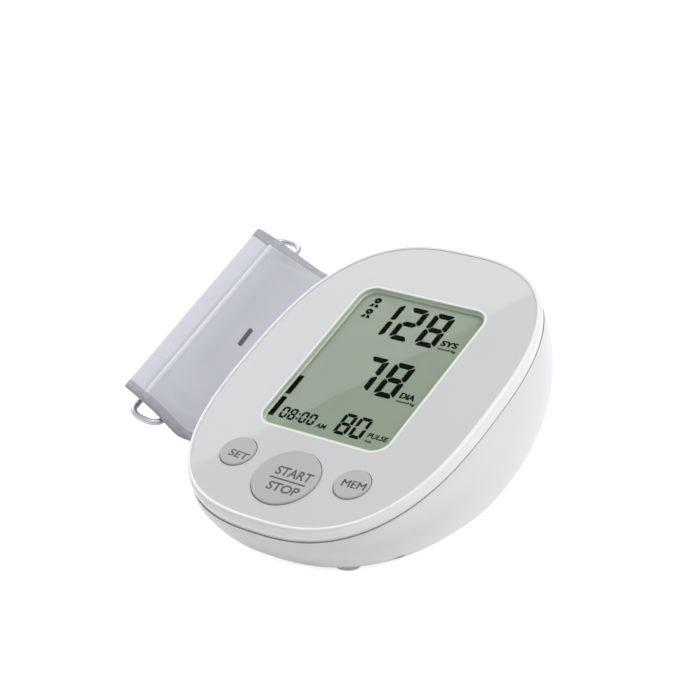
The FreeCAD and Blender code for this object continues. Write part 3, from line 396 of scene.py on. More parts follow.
# Two little people: each head is a ring in two halves, and each has two shoulders below it.
for y in (38.6, 32.7):
    for side in (0, 1):
        sweep = [math.pi * (0.5 + side + i / 14) for i in range(15)]
        figures.append([(HEAD_X + 1.5 * math.cos(a), y + 1.4 * math.sin(a)) for a in sweep]
                       + [(HEAD_X + 0.3 * math.cos(a), y + 0.3 * math.sin(a)) for a in sweep[::-1]])
for y in (35.2, 29.4):
    figures += [[(-22.4, y), (-20.6, y), (-20.6, y + 1.7), (-21.5, y + 1.5)],
                [(-20.0, y), (-18.2, y), (-19.1, y + 1.5), (-20.0, y + 1.7)]]
vertices, faces = prisms(figures, *LCD_PRINT, DISPLAY)
new_object("lcd_figures", vertices, faces, ink_black, "monitor", smooth=False)


def lettering(name, lines, low, high, surface, body, weight=0.0, place=FACE):
    """Plain text, each line stretched to its own box: (text, x0, y0, x1, y1, turn in degrees).

    A line that is given twice, a little apart, comes out bolder."""
    work = bmesh.new()
    for text, x0, y0, x1, y1, turn in lines:
        curve = bpy.data.curves.new(name, "FONT")
        curve.body = text
        curve.extrude = 0.5  # any depth does, as it is stretched too
        curve.offset = weight
        curve.resolution_u = 4
        holder = bpy.data.objects.new(name, curve)
        mesh = bpy.data.meshes.new_from_object(holder)
        co = np.array([v.co for v in mesh.vertices])
        lo, hi = co.min(0), co.max(0)
        fit = (co - lo) / (hi - lo)
        mid = Vector(((x0 + x1) / 2, (y0 + y1) / 2, 0))
        spin = Matrix.Rotation(math.radians(turn), 4, "Z")
        for v, (a, b, c) in zip(mesh.vertices, fit):
            flat = Vector((x0 + a * (x1 - x0), y0 + b * (y1 - y0), 0)) - mid
            flat = spin @ flat + mid
            v.co = place @ Vector((flat.x, flat.y, low + c * (high - low)))
        work.from_mesh(mesh)
        bpy.data.objects.remove(holder)
        bpy.data.curves.remove(curve)
        bpy.data.meshes.remove(mesh)
    bmesh.ops.remove_doubles(work, verts=work.verts, dist=1e-7)
    made = bpy.data.meshes.new(name)
    work.to_mesh(made)
    work.free()
    made.materials.append(surface)
    obj = bpy.data.objects.new(name, made)
    scene.collection.objects.link(obj)
    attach(obj, body)


lettering("lcd_labels", [
    ("SYS", 15.3, 25.0, 22.2, 27.7, 0), ("SYS", 15.45, 25.0, 22.35, 27.7, 0), ("mmHg", 15.5, 22.7, 23.1, 24.2, 0),
    ("DIA", 15.5, -2.3, 21.6, 0.4, 0), ("DIA", 15.65, -2.3, 21.75, 0.4, 0), ("mmHg", 15.5, -4.6, 23.3, -3.1, 0),
    ("PULSE", 15.3, -22.4, 23.4, -20.2, 0), ("/min", 15.4, -24.5, 18.4, -23.3, 0),
    ("AM", -5.9, -24.1, -1.8, -21.9, 0)], *LCD_PRINT, ink_black, "monitor", 0.03, DISPLAY)
lettering("start_stop_mark", [("START", -5.1, -49.2, 9.8, -45.2, 0), ("STOP", -4.2, -56.1, 8.9, -52.3, 0)],
          *KEY_PRINT, ink_gray, "button_start", 0.024)
vertices, faces = prisms([bar(-5.8, -51.05, 9.3, -50.4)], *KEY_PRINT)
new_object("start_stop_line", vertices, faces, ink_gray, "button_start", smooth=False)
lettering("set_mark", [("SET", -27.0, -47.4, -18.8, -44.3, -3)], *KEY_PRINT, ink_gray, "button_set", 0.018)
lettering("mem_mark", [("MEM", 20.9 + shift, -46.0, 29.9 + shift, -42.9, 4) for shift in (0.0, 0.2)],
          *KEY_PRINT, ink_gray, "button_mem")


# ---- Seams ----
def tube(rings, n, first=0, closed=False):
    """Faces of a tube of rings with n points each, numbered from first. closed joins the last ring to the first."""
    faces = []
    for r in range(rings if closed else rings - 1):
        here, there = first + r * n, first + (r + 1) % rings * n
        faces += [[here + c, here + (c + 1) % n, there + (c + 1) % n, there + c] for c in range(n)]
    return faces


def oval(half_w, half_l, power, count=220):
    """A superellipse, the shape of the plate and the case."""
    points = []
    for i in range(count):
        a = 2 * math.pi * i / count
        c, n = math.cos(a), math.sin(a)
        reach = (abs(c) ** power + abs(n) ** power) ** (-1 / power)
        points.append((half_w * c * reach, half_l * n * reach))
    return points


def rounded(half_w, half_l, radius, x, y, count=12):
    """A rectangle with round corners, about (x, y)."""
    points = []
    for corner, (sx, sy) in enumerate(((1, 1), (-1, 1), (-1, -1), (1, -1))):
        for i in range(count + 1):
            a = math.pi / 2 * (corner + i / count)
            points.append((x + sx * (half_w - radius) + radius * math.cos(a),
                           y + sy * (half_l - radius) + radius * math.sin(a)))
    return points


def loop_bead(name, outline, height, half_w, half_h, surface):
    """A closed bead on the case, with a flat oval section, along an outline drawn on the face. A dark one is painted
    shadow in a gap, and a white one is a raised edge with a painted highlight.
    """
    sides = 8
    vertices = []
    for i, (x, y) in enumerate(outline):
        ax, ay = outline[i - 1]
        bx, by = outline[(i + 1) % len(outline)]
        size = math.hypot(bx - ax, by - ay)
        ox, oy = (by - ay) / size, -(bx - ax) / size
        for k in range(sides):
            a = 2 * math.pi * k / sides
            w, h = half_w * math.cos(a), half_h * math.sin(a)
            vertices.append(FACE @ Vector((x + ox * w, y + oy * w, height + h)))
    faces = tube(len(outline), sides, closed=True)
    new_object(name, vertices, faces, surface, "monitor")


# Two dark beads of painted shadow, in the gap between the cases and at the plate's edge, then the rim's raised lip,
# whose brighter white is a painted highlight.
loop_bead("case_seam_shadow", oval(52.22, 71.1, 2.61), -4.66, 0.24, 0.2, seam_shadow)
loop_bead("plate_seam_shadow", oval(50.66, 68.36, 2.74), -0.02, 0.11, 0.08, edge_shadow)
loop_bead("rim_lip", oval(51.25, 69.05, 2.74), 0.15, 0.50, 0.24, lip_painted_highlight)

# The opening's edge is coloured like the display but lighter, and glows a little: painted light that hides the shade in
# the deep opening, so that the white border shows only on the face. Its foot reaches a little further in over the
# glass, over the shadow that the wall casts there.
VIEW_W, VIEW_L, VIEW_R, VIEW_X, VIEW_Y = 54.0, 72.25, 6.0, -0.9, 7.3
outer, inner, foot = (rounded(VIEW_W / 2 - e, VIEW_L / 2 - e, VIEW_R - e, VIEW_X, VIEW_Y) for e in (0.07, 0.32, 0.85))
profile = ((outer, -0.08), (inner, -0.08), (inner, -1.52), (foot, -1.87), (outer, -1.87))
vertices = [FACE @ Vector((x, y, z)) for ring, z in profile for x, y in ring]
faces = tube(len(profile), len(outer), closed=True)
new_object("window_edge", vertices, faces, liner_painted_light, "monitor", smooth=False)


# ---- Cuff ----
# The same sizes as the CAD cuff, in millimetres: w from the curled edge to the roll, q from the near to the far end, z
# up, and s the length of cloth from the curled edge. A row is a line of points along q, counted from the curled edge.
SHEET_T, SHEET_Z = 2.2, 1.3
BEND_R, ROLL_R, ROLL_LEAD, PITCH = 30.0, 12.5, 3.8, 2.65
ENDS = ((21.0, 35.4), (41.3, 28.5))  # the curled edge's height and the flap's slope at the near and the far end
HALF_TURNS = 8
HEM = 8.0  # the length of the folded edge, which has a row to each millimetre
NEAR_IN, FAR_IN = 4.2, WIDTH - 8.0  # the inner edges of the two bindings
GRIP = 0.5  # how much a binding presses the cover in
MOST_SAG, MOST_FLARE = 1.6, 2.8  # how far the flap's ends hang at most, and how far the near one spreads
CORNER = Vector((-118.25 + ROW_X, 5.4 + ROW_Y, 0))
SPIN = Matrix.Rotation(math.radians(19.0), 3, "Z")
EDGE_ROWS, FLAT_ROWS, BEND_STEPS, LEAD_STEPS, TURN_STEPS = 8, 40, 18, 12, 24
BEND_ROW = EDGE_ROWS + FLAT_ROWS
LEAD_ROW = BEND_ROW + BEND_STEPS
ROLL_ROW = LEAD_ROW + LEAD_STEPS


def strip(rise, slope):
    """One end's centre line: rows of s, w, z and the direction of the upper side."""
    a = math.radians(slope)
    top = rise - SHEET_T / 2 * math.cos(a)
    run = (top - SHEET_Z - BEND_R * (1 - math.cos(a))) / math.sin(a)
    flap = list(np.linspace(0, HEM, EDGE_ROWS + 1)[:-1]) + list(np.linspace(HEM, run, FLAT_ROWS + 1)[:-1])
    rows = [(s * math.cos(a), top - s * math.sin(a), math.sin(a), math.cos(a)) for s in flap]
    cw, cz = run * math.cos(a) + BEND_R * math.sin(a), top - run * math.sin(a) + BEND_R * math.cos(a)
    for t in np.linspace(a, 0, BEND_STEPS + 1)[:-1]:
        rows.append((cw - BEND_R * math.sin(t), cz - BEND_R * math.cos(t), math.sin(t), math.cos(t)))
    roll_w = cw + ROLL_R + ROLL_LEAD
    rows += [(w, SHEET_Z, 0, 1) for w in np.linspace(cw, roll_w, LEAD_STEPS + 1)[:-1]]
    for i in range(HALF_TURNS):
        radius = ROLL_R - i * PITCH / 2
        mid = SHEET_Z + (i + 1) // 2 * PITCH + radius
        start = -math.pi / 2 if i % 2 == 0 else math.pi / 2
        for t in np.linspace(start, start + math.pi, TURN_STEPS + 1)[:-1]:
            rows.append((roll_w + radius * math.cos(t), mid + radius * math.sin(t), -math.cos(t), -math.sin(t)))
    rows = np.array(rows)
    steps = np.hypot(*np.diff(rows[:, :2], axis=0).T)
    return np.column_stack([np.concatenate([[0], np.cumsum(steps)]), rows])


NEAR, FAR = strip(*ENDS[0]), strip(*ENDS[1])
TAB_ROW = ROLL_ROW + (HALF_TURNS - 1) * TURN_STEPS  # where the hook strip begins
LAST_ROW = len(NEAR) - 1


def in_cuff(w, q, z):
    """Takes the cuff's own millimetres to metres in the row's frame."""
    return (SPIN @ Vector((w, q, z)) + CORNER) / 1000


def smooth(t):
    """A soft step from 0 at t = 0 to 1 at t = 1."""
    t = max(0.0, min(1.0, t))
    return t * t * (3 - 2 * t)


def sag(q, s, z):
    """How far the flap's two ends hang, beyond the stiff former."""
    end = max(0.0, 1 - min(q, WIDTH - q) / 9.0) ** 1.2
    return MOST_SAG * end * smooth((s - 4.0) / 30.0) * smooth((z - SHEET_Z) / 3.5)


def flare(q, s):
    """How far the near end spreads outwards where the flap comes down to the table."""
    down = smooth((s - 14.0) / 24.0) * (1 - smooth((s - 44.0) / 12.0))
    return MOST_FLARE * max(0.0, 1 - q / 30.0) ** 2 * down


def lengths(q):
    """s at every row, for one q."""
    return NEAR[:, 0] * (1 - q / WIDTH) + FAR[:, 0] * q / WIDTH


def row_at(q, s):
    """The row, with its fraction, at s."""
    return float(np.interp(s, lengths(q), range(LAST_ROW + 1)))


def hem(q):
    """s of the panel's folded edge."""
    return HEM_NEAR + HEM_LEAN * q / WIDTH


def cuff_spot(q, row, offset):
    """A point of the cuff in metres, offset above its centre line, and its s."""
    k = q / WIDTH
    i = min(int(row), LAST_ROW - 1)
    part = row - i
    near = NEAR[i] * (1 - part) + NEAR[i + 1] * part
    far = FAR[i] * (1 - part) + FAR[i + 1] * part
    s, w, z, nw, nz = near * (1 - k) + far * k
    size = math.hypot(nw, nz)
    if row < LEAD_ROW:
        offset -= sag(q, s, z)
    return in_cuff(w + nw / size * offset, q - flare(q, s), z + nz / size * offset), s


def up_at(q, row, offset):
    """The direction of the upper side at a point of the cuff."""
    return (cuff_spot(q, row, offset + 1)[0] - cuff_spot(q, row, offset)[0]).normalized()


def flap_spot(q, s, offset):
    """A point of the straight flap, s from its curled edge, in metres."""
    found = Vector((0, 0))
    for (rise, slope), share in zip(ENDS, (1 - q / WIDTH, q / WIDTH)):
        a = math.radians(slope)
        top = rise - SHEET_T / 2 * math.cos(a)
        found += Vector((s * math.cos(a) + math.sin(a) * offset, top - s * math.sin(a) + math.cos(a) * offset)) * share
    return in_cuff(found.x, q, found.y)


def cut_map(obj, flat):
    """The piece's own map, in metres of cloth, which its weave follows."""
    layer = obj.data.uv_layers.new(name="cut")
    for loop in obj.data.loops:
        layer.data[loop.index].uv = flat[loop.vertex_index]
    return obj


def slab_faces(n, m):
    """Faces of a closed slab whose two sides are grids of n by m points."""
    def at(side, r, c):
        return side * n * m + r * n + c
    faces = []
    for r in range(m - 1):
        for c in range(n - 1):
            faces.append([at(0, r, c), at(0, r, c + 1), at(0, r + 1, c + 1), at(0, r + 1, c)])
            faces.append([at(1, r, c), at(1, r + 1, c), at(1, r + 1, c + 1), at(1, r, c + 1)])
    for r in range(m - 1):
        faces.append([at(0, r, 0), at(0, r + 1, 0), at(1, r + 1, 0), at(1, r, 0)])
        faces.append([at(0, r, n - 1), at(1, r, n - 1), at(1, r + 1, n - 1), at(0, r + 1, n - 1)])
    for c in range(n - 1):
        faces.append([at(0, 0, c), at(1, 0, c), at(1, 0, c + 1), at(0, 0, c + 1)])
        faces.append([at(0, m - 1, c), at(0, m - 1, c + 1), at(1, m - 1, c + 1), at(1, m - 1, c)])
    return faces


def slab(name, qs, rows, low, high, surface):
    """A closed layer of the cuff. low and high give the offsets of its two sides at (q, row)."""
    vertices, flat = [], []
    for side in (high, low):
        for row in rows:
            for q in qs:
                p, s = cuff_spot(q, row, side(q, row))
                vertices.append(p)
                flat.append((s / 1000, q / 1000))
    obj = new_object(name, vertices, slab_faces(len(qs), len(rows)), surface, "cuff")
    obj.data.set_sharp_from_angle(angle=math.radians(60))
    return cut_map(obj, flat)


def ripple(q, row, size_q, size_s, seed):
    """A smooth, repeatable unevenness between -1 and 1."""
    return (math.sin(q / size_q + 1.7 * math.sin(row / size_s + seed)) *
            math.cos(row / size_s * 0.7 + 1.3 * math.sin(q / size_q * 0.6 + seed * 2)))


def inside(q):
    """0 at the bindings, 1 in the middle of the cloth."""
    return max(0.0, min(1.0, min(q - NEAR_IN, FAR_IN - q) / 14.0)) ** 0.6


def rounding(row):
    """How far a side comes in at the folded edge."""
    fall = min(1.0, row / 1.6)
    return SHEET_T / 2 * (1 - math.sqrt(max(0.0, 1 - (1 - fall) ** 2)))


def pinch(q):
    """0 on the open cloth, 1 where a binding grips it."""
    return smooth((max(NEAR_IN - q, q - FAR_IN) + 2.5) / 3.0)


def cover_top(q, row):
    """The cover's upper side: slack in the middle, puffed at the folded edge, drawn in at the bindings and the hem."""
    slack = 0.0 if row > LEAD_ROW else 0.22 * ripple(q, row, 17.0, 5.0, 0.4) * inside(q)
    edge_puff = 0.30 * math.sin(math.pi * min(1.0, row / HEM)) * inside(q)
    s = float(np.interp(row, range(20), lengths(q)[:20]))  # the hem lies well within these rows
    groove = 0.12 * math.exp(-((s - hem(q) + 0.2) / 0.6) ** 2)
    return SHEET_T / 2 - GRIP * pinch(q) - rounding(row) + slack * min(1.0, row / 3.0) + edge_puff - groove


def cover_low(q, row):
    """The cover's lower side."""
    slack = 0.12 * ripple(q, row, 21.0, 6.0, 2.1) * inside(q) if row < BEND_ROW else 0.0
    return -SHEET_T / 2 + GRIP * pinch(q) + rounding(row) + slack


edge_rows = [0, 0.15, 0.35, 0.6, 0.9, 1.25, 1.6] + [2.0 + 0.5 * i for i in range(24)]
cover_rows = edge_rows + [14.0 + i for i in range(TAB_ROW - 13)]
cover_qs = np.linspace(1.2, WIDTH - 2.6, 74).tolist()
cover = slab("cuff_cover", cover_qs, cover_rows, cover_low, cover_top, cuff_nylon)
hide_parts("cuff_outer_cloth", "cuff_inner_cloth")

SIM_PRESSURE, SIM_SPARE, SIM_FRAMES = 15.0, 0.012, 20


def simulated(vertices, faces, ups, most, held):
    """The sheet's points after Blender's cloth has settled: each rises along its own up, by most metres at most."""
    mesh = bpy.data.meshes.new("panel_sim")
    mesh.from_pydata([tuple(v) for v in vertices], [], faces)
    sheet = bpy.data.objects.new("panel_sim", mesh)
    scene.collection.objects.link(sheet)
    group = sheet.vertex_groups.new(name="held")
    group.add(held, 1.0, "REPLACE")
    modifier = sheet.modifiers.new("cloth", "CLOTH")
    cloth_settings = modifier.settings
    cloth_settings.quality = 6
    cloth_settings.mass = 0.1
    cloth_settings.tension_stiffness = cloth_settings.compression_stiffness = 15
    cloth_settings.shear_stiffness = 5
    cloth_settings.bending_stiffness = 0.3
    cloth_settings.vertex_group_mass = "held"
    cloth_settings.shrink_min = -SIM_SPARE
    cloth_settings.use_pressure = True
    cloth_settings.uniform_pressure_force = SIM_PRESSURE
    cloth_settings.effector_weights.gravity = 0
    modifier.collision_settings.use_collision = False
    for step in range(1, SIM_FRAMES + 1):
        scene.frame_set(step)
    settled = sheet.evaluated_get(bpy.context.evaluated_depsgraph_get()).to_mesh()
    found = [before + up * max(0.0, min(limit, (after.co - before).dot(up)))
             for before, after, up, limit in zip(vertices, settled.vertices, ups, most)]
    scene.frame_set(1)
    bpy.data.objects.remove(sheet)
    bpy.data.meshes.remove(mesh)
    return found


# The cloth over the flap, from its hem to the end of the bend: pinned all round and blown up a little by simulation.
# panel_grid holds a column of s for each q, close together at the hem.
PANEL_LAST_ROW, PANEL_STEPS = 65.6, 62
PANEL_HEM_STEPS = (0, 0.25, 0.5, 0.75, 1.0, 1.3, 1.6, 2.0, 2.5, 3.1, 3.8, 4.6)
PANEL_OVER = 0.55  # how far it lies over the cover, in millimetres
PANEL_MOST_RISE = 0.0014  # how far it may rise in the simulation, in metres
panel_qs = np.linspace(1.3, WIDTH - 5.6, 78).tolist()
panel_grid = []
for q in panel_qs:
    end = float(np.interp(PANEL_LAST_ROW, range(LAST_ROW + 1), lengths(q)))
    fine = [hem(q) + step for step in PANEL_HEM_STEPS]
    shares = [i / PANEL_STEPS for i in range(1, PANEL_STEPS + 1)]
    panel_grid.append(fine + [fine[-1] + (end - fine[-1]) * share for share in shares])
vertices, flat, ups, most = [], [], [], []
for r in range(len(panel_grid[0])):
    for column, q in zip(panel_grid, panel_qs):
        row = row_at(q, column[r])
        end = smooth(1 - (column[-1] - column[r]) / 4.0)
        rise = SHEET_T / 2 + PANEL_OVER - 0.75 * pinch(q) - 0.45 * end
        p, s = cuff_spot(q, row, rise)
        vertices.append(p)
        flat.append((s / 1000, q / 1000))
        ups.append(up_at(q, row, rise))
        edge = min(1.0, min(q - NEAR_IN + 1, FAR_IN + 1 - q, s - column[0], column[-1] - s) / 20.0)
        most.append(PANEL_MOST_RISE * (1 - (1 - max(0.0, edge)) ** 2))
n, m = len(panel_qs), len(panel_grid[0])
faces = [[r * n + c, (r + 1) * n + c, (r + 1) * n + c + 1, r * n + c + 1] for r in range(m - 1) for c in range(n - 1)]

held = [r * n + c for r in range(m) for c in range(n) if r in (0, m - 1) or c in (0, n - 1)]
vertices = simulated(vertices, faces, ups, most, held)

# The panel's half thickness, with a ridge on its fold, past the hem, and a lower one beside the far binding.
PANEL_HALF, RIDGE_PAST = 0.30, 0.8
top, low = [], []
for i, (v, up) in enumerate(zip(vertices, ups)):
    q = panel_qs[i % n]
    past = panel_grid[i % n][i // n] - hem(q) - RIDGE_PAST
    ridge = math.exp(-(past / (0.5 if past < 0 else 1.1)) ** 2)
    ridge += 0.35 * math.exp(-((q - FAR_IN + 2.2) / 0.9) ** 2)
    top.append(v + up * ((PANEL_HALF + ridge) * (1 - pinch(q)) - 0.05 * pinch(q)) / 1000)
    low.append(v - up * PANEL_HALF / 1000)
panel = new_object("cuff_panel_cloth", top + low, slab_faces(n, m), panel_nylon, "cuff")
panel.data.set_sharp_from_angle(angle=math.radians(60))
cut_map(panel, flat + flat)
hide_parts("cuff_panel")

# The hook strip at the inner end of the roll.
tab_rows = [TAB_ROW + 0.5 + i for i in range(LAST_ROW - TAB_ROW - 1)] + [LAST_ROW - 0.4, LAST_ROW - 0.1]


def tab_half(q, row):
    """Half the hook strip's thickness, which runs out at its end."""
    end = max(0.0, min(1.0, (LAST_ROW - row) / 1.5))
    return (SHEET_T / 2 - 0.1) * (0.35 + 0.65 * math.sqrt(1 - (1 - end) ** 2)) + 0.05 * ripple(q, row, 5.0, 4.0, 3.0)


tab = slab("cuff_hook_strip", np.linspace(5.2, WIDTH - 5.2, 60).tolist(), tab_rows,
           lambda q, row: -tab_half(q, row), tab_half, hook_tape)
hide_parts("cuff_hook_tab")


def over_panel(row):
    """How much higher a binding lies where it covers the panel."""
    return 0.28 * min(1.0, max(0.0, (row - 2.0) / 8.0)) * min(1.0, max(0.0, (LEAD_ROW - row) / 3.0))


def binding(name, inner, outer, kink, narrower):
    """Woven tape folded over one end of the cuff, the panel's edge tucked under it.

    kink is the height of a small buckle in it, and narrower how much it narrows past the hem."""
    sign = 1 if outer > inner else -1
    depth = abs(outer - inner)
    # The tape's section: how far out from its inner edge, and how high.
    ring = [(0.0, 0.92), (depth / 2, 1.0), (depth - 0.9, 0.92), (depth - 0.3, 0.72), (depth, 0.35), (depth, -0.35),
            (depth - 0.3, -0.62), (depth - 0.9, -0.78), (0.0, -0.80), (-0.15, -0.65), (-0.15, 0.75)]
    walk = [0.0]
    for (d0, o0), (d1, o1) in zip(ring, ring[1:]):
        walk.append(walk[-1] + math.hypot(d1 - d0, o1 - o0))
    vertices, flat = [], []
    for row in cover_rows:
        squeeze = max(0.12, 1 - rounding(row) / (SHEET_T / 2))
        bump = kink * math.exp(-((row - 30.0) / 4.5) ** 2)
        for (d, off), along in zip(ring, walk):
            wave = 0.10 * ripple(outer, row, 9.0, 3.1, off)
            s = cuff_spot(inner, row, 0)[1]
            away = max(0.0, min(1.0, (s - 4.0) / 26.0))
            q = outer - sign * (depth - d) * (1 - narrower / depth * away) + sign * wave * min(1.0, d)
            lift = (over_panel(row) if off > 0 else 0.0) + 0.4 * bump + 0.35 * wave
            p, s = cuff_spot(q, row, (off + lift) * squeeze)
            vertices.append(p)
            flat.append((s / 1000, along / 1000))
    n = len(ring)
    faces = tube(len(cover_rows), n)
    faces.append(list(range(n)))
    faces.append([(len(cover_rows) - 1) * n + c for c in range(n - 1, -1, -1)])
    obj = cut_map(new_object(name, vertices, faces, binding_tape, "cuff"), flat)
    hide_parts("cuff_bindings")


binding("cuff_binding_near", NEAR_IN, 0.0, 0.0, 1.2)
binding("cuff_binding_far", FAR_IN, WIDTH, 1.0, -4.5)

# The folded loop of cloth under the flap, drawn tight round the ring's held bar: its section as s and offset.
LOOP_T, LOOP_STEP = 0.6, 1.6
hang = [(0.7, -1.0), (1.5, -2.2), (2.9, -3.9), (4.4, -5.7), (5.7, -7.1), (6.8, -7.95), (8.0, -8.2), (9.1, -7.8),
        (9.8, -6.9), (10.1, -5.5), (10.3, -3.9), (10.6, -2.3), (10.9, -1.0)]
pocket_qs = np.linspace(14.0, WIDTH - 14.0, 66).tolist()
vertices, flat = [], []
for shrink in (0.0, LOOP_T):
    for i, (s, off) in enumerate(hang):
        a, b = hang[max(i - 1, 0)], hang[min(i + 1, len(hang) - 1)]
        size = math.hypot(b[0] - a[0], b[1] - a[1])
        ns, no = -(b[1] - a[1]) / size, (b[0] - a[0]) / size
        for q in pocket_qs:
            crease = 0.16 * math.sin(q / 4.3 + 1.9 * math.sin(q / 11.0)) * math.sin(math.pi * i / (len(hang) - 1))
            vertices.append(flap_spot(q, s + ns * (shrink + crease), off + no * (shrink + crease)))
            flat.append((i * LOOP_STEP / 1000, q / 1000))
faces = slab_faces(len(pocket_qs), len(hang))
pocket = cut_map(new_object("cuff_ring_loop", vertices, faces, cuff_nylon, "cuff"), flat)
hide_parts("cuff_ring_pocket")


# ---- Stitching and print ----
THREAD_R = 0.00013  # in metres
THREAD_SHAPE = ((0.0, 0.35), (0.2, 0.9), (0.5, 1.0), (0.8, 0.9), (1.0, 0.35))  # how far along it, and how thick


def stitches(name, spots):
    """Short sewn threads, each from a pair of points and the way up there."""
    sides = 6
    vertices, faces = [], []
    for a, b, up in spots:
        first = len(vertices)
        ahead = (b - a).normalized()
        side = ahead.cross(up).normalized()
        for t, swell in THREAD_SHAPE:
            mid = a.lerp(b, t) + up * THREAD_R * (0.9 * math.sin(math.pi * t) - 0.35)
            for k in range(sides):
                ang = 2 * math.pi / sides * k
                vertices.append(mid + (side * math.cos(ang) + up * math.sin(ang)) * THREAD_R * swell)
        faces += tube(len(THREAD_SHAPE), sides, first)
        faces.append([first + k for k in range(sides - 1, -1, -1)])
        faces.append([first + (len(THREAD_SHAPE) - 1) * sides + k for k in range(sides)])
    new_object(name, vertices, faces, thread, "cuff")


# The hem's stitches, along q, a millimetre before the panel's folded edge.
HEM_STITCH, HEM_STITCH_PITCH, HEM_STITCH_COUNT = 2.1, 2.95, 46
seams = []
for i in range(HEM_STITCH_COUNT):
    q = 7.0 + i * HEM_STITCH_PITCH
    row = row_at(q, hem(q) - 1.0)
    lift = cover_top(q, row)
    end = q + HEM_STITCH
    seams.append((cuff_spot(q, row, lift)[0], cuff_spot(end, row, cover_top(end, row))[0], up_at(q, row, lift)))
stitches("hem_stitches", seams)

# The bindings' stitches, along s. A stitch is 2.2 mm long, which is 2.2 rows at the folded edge. Further on its length
# in rows follows from the flap's length, and the near binding's stitches come out shorter.
STITCH = 2.2
seams = []
for q_line, flap in ((NEAR_IN - 2.9, 22.0), (FAR_IN + 0.8, 66.0)):
    row = 0.8
    while row < LEAD_ROW - 1:
        lift = 0.94 + over_panel(row)
        step = STITCH if row < EDGE_ROWS else STITCH * FLAT_ROWS / flap
        a, b = (cuff_spot(q_line, r, lift)[0] for r in (row, row + step))
        seams.append((a, b, up_at(q_line, row, lift)))
        row += step * 1.4
stitches("binding_stitches", seams)

# A plain bar with round ends, printed on the panel and laid on the cloth's own points.
BAR_HALF_Q, BAR_HALF_S = 7.35, 0.95
MARK_Q, MARK_S = 68.4, 25.2
MARK_ROWS, MARK_COLS = 7, 25
PRINT_T = 0.00006  # in metres


def on_panel(q, s):
    """The panel's top at a place given in millimetres, between its grid points, and the way up there."""
    c = (q - panel_qs[0]) / (panel_qs[1] - panel_qs[0])
    at_row = float(np.interp(s, panel_grid[int(c)], range(m)))
    r, part_r = int(at_row), at_row % 1
    i, part = int(c), c - int(c)
    before, after = (top[k * n + i].lerp(top[k * n + i + 1], part) for k in (r, r + 1))
    return before.lerp(after, part_r), ups[r * n + i]


vertices, faces = [], []
for a in range(MARK_COLS):
    x = -BAR_HALF_Q + 2 * BAR_HALF_Q * a / (MARK_COLS - 1)
    over = max(0.0, abs(x) - (BAR_HALF_Q - BAR_HALF_S))
    half = math.sqrt(max(0.02, BAR_HALF_S ** 2 - over ** 2))
    for b in range(MARK_ROWS):
        p, up = on_panel(MARK_Q + x, MARK_S + half * (2 * b / (MARK_ROWS - 1) - 1))
        vertices.append(p + up * PRINT_T)
for a in range(MARK_COLS - 1):
    for b in range(MARK_ROWS - 1):
        i = a * MARK_ROWS + b
        faces.append([i, i + 1, i + MARK_ROWS + 1, i + MARK_ROWS])
new_object("panel_mark", vertices, faces, ink_mark, "cuff")

# ---- Camera, lights, floor ----
# The photo's camera: its direction, the picture's width and the focal length in pixels, and its place in millimetres.
AZ, EL = math.radians(37.125), math.radians(19.575)
PICTURE_PX, FOCAL_PX = 700.0, 2400.0
CAMERA_AT = (467.47 + ROW_X, -626.07 + ROW_Y, 339.13)
right = Vector((math.cos(AZ), math.sin(AZ), 0))
ahead = Vector((-math.sin(AZ) * math.cos(EL), math.cos(AZ) * math.cos(EL), -math.sin(EL)))
above = right.cross(ahead)
lens = bpy.data.cameras.new("camera")
lens.sensor_width = 36.0
lens.lens = FOCAL_PX / PICTURE_PX * lens.sensor_width
lens.clip_start, lens.clip_end = 0.05, 20.0
camera = bpy.data.objects.new("camera", lens)
camera.matrix_world = Matrix((right, above, -ahead)).transposed().to_4x4()
camera.location = [c / 1000 for c in CAMERA_AT]
scene.collection.objects.link(camera)
scene.camera = camera


def area_light(name, place, size_x, size_y, power):
    """A rectangular lamp, whose aim is left to be set."""
    light = bpy.data.lights.new(name, "AREA")
    light.shape, light.size, light.size_y = "RECTANGLE", size_x, size_y
    light.energy = power
    obj = bpy.data.objects.new(name, light)
    obj.location = place
    scene.collection.objects.link(obj)
    return obj


# The two soft lamps: place, what each points at, size and power.
for name, place, target, size, power in (("right_soft", (1.02, 0.12, 1.25), (0.06, 0, 0.04), 1.0, 11.6),
                                         ("left_soft", (-0.85, -1.15, 0.45), (0, 0, 0.04), 1.2, 0.9)):
    lamp = area_light(name, place, size, size, power)
    lamp.rotation_euler = (Vector(target) - Vector(place)).to_track_quat("-Z", "Y").to_euler()

# A soft box whose straight edge is mirrored across the glossy face, from its lower left to its upper right. It lies on
# the lines from the camera's mirror image through the face, on the side of the face's upper left.
BOX_REACH, BOX_LONG, BOX_WIDE, BOX_POWER = 2.2, 3.2, 1.8, 35.0
face_up = (FACE.to_3x3() @ Vector((0, 0, 1))).normalized()
low_left, high_right, upper_left = (
    FACE @ Vector((x, y, 0)) for x, y in ((-13.67, -20.08), (29.14, 48.04), (-30, 40)))
mirrored = camera.location - 2 * (camera.location - low_left).dot(face_up) * face_up
first, second, beyond = (p + (p - mirrored).normalized() * BOX_REACH for p in (low_left, high_right, upper_left))
along = (second - first).normalized()
middle = (first + second) / 2
away = beyond - middle
away = (away - away.dot(along) * along).normalized()
back = along.cross(away)
if back.dot(middle - low_left) < 0:
    along, back = -along, -back
box = area_light("face_soft_box", (0, 0, 0), BOX_LONG, BOX_WIDE, BOX_POWER)
box.matrix_world = Matrix((along, away, back)).transposed().to_4x4()
box.location = middle + away * BOX_WIDE / 2


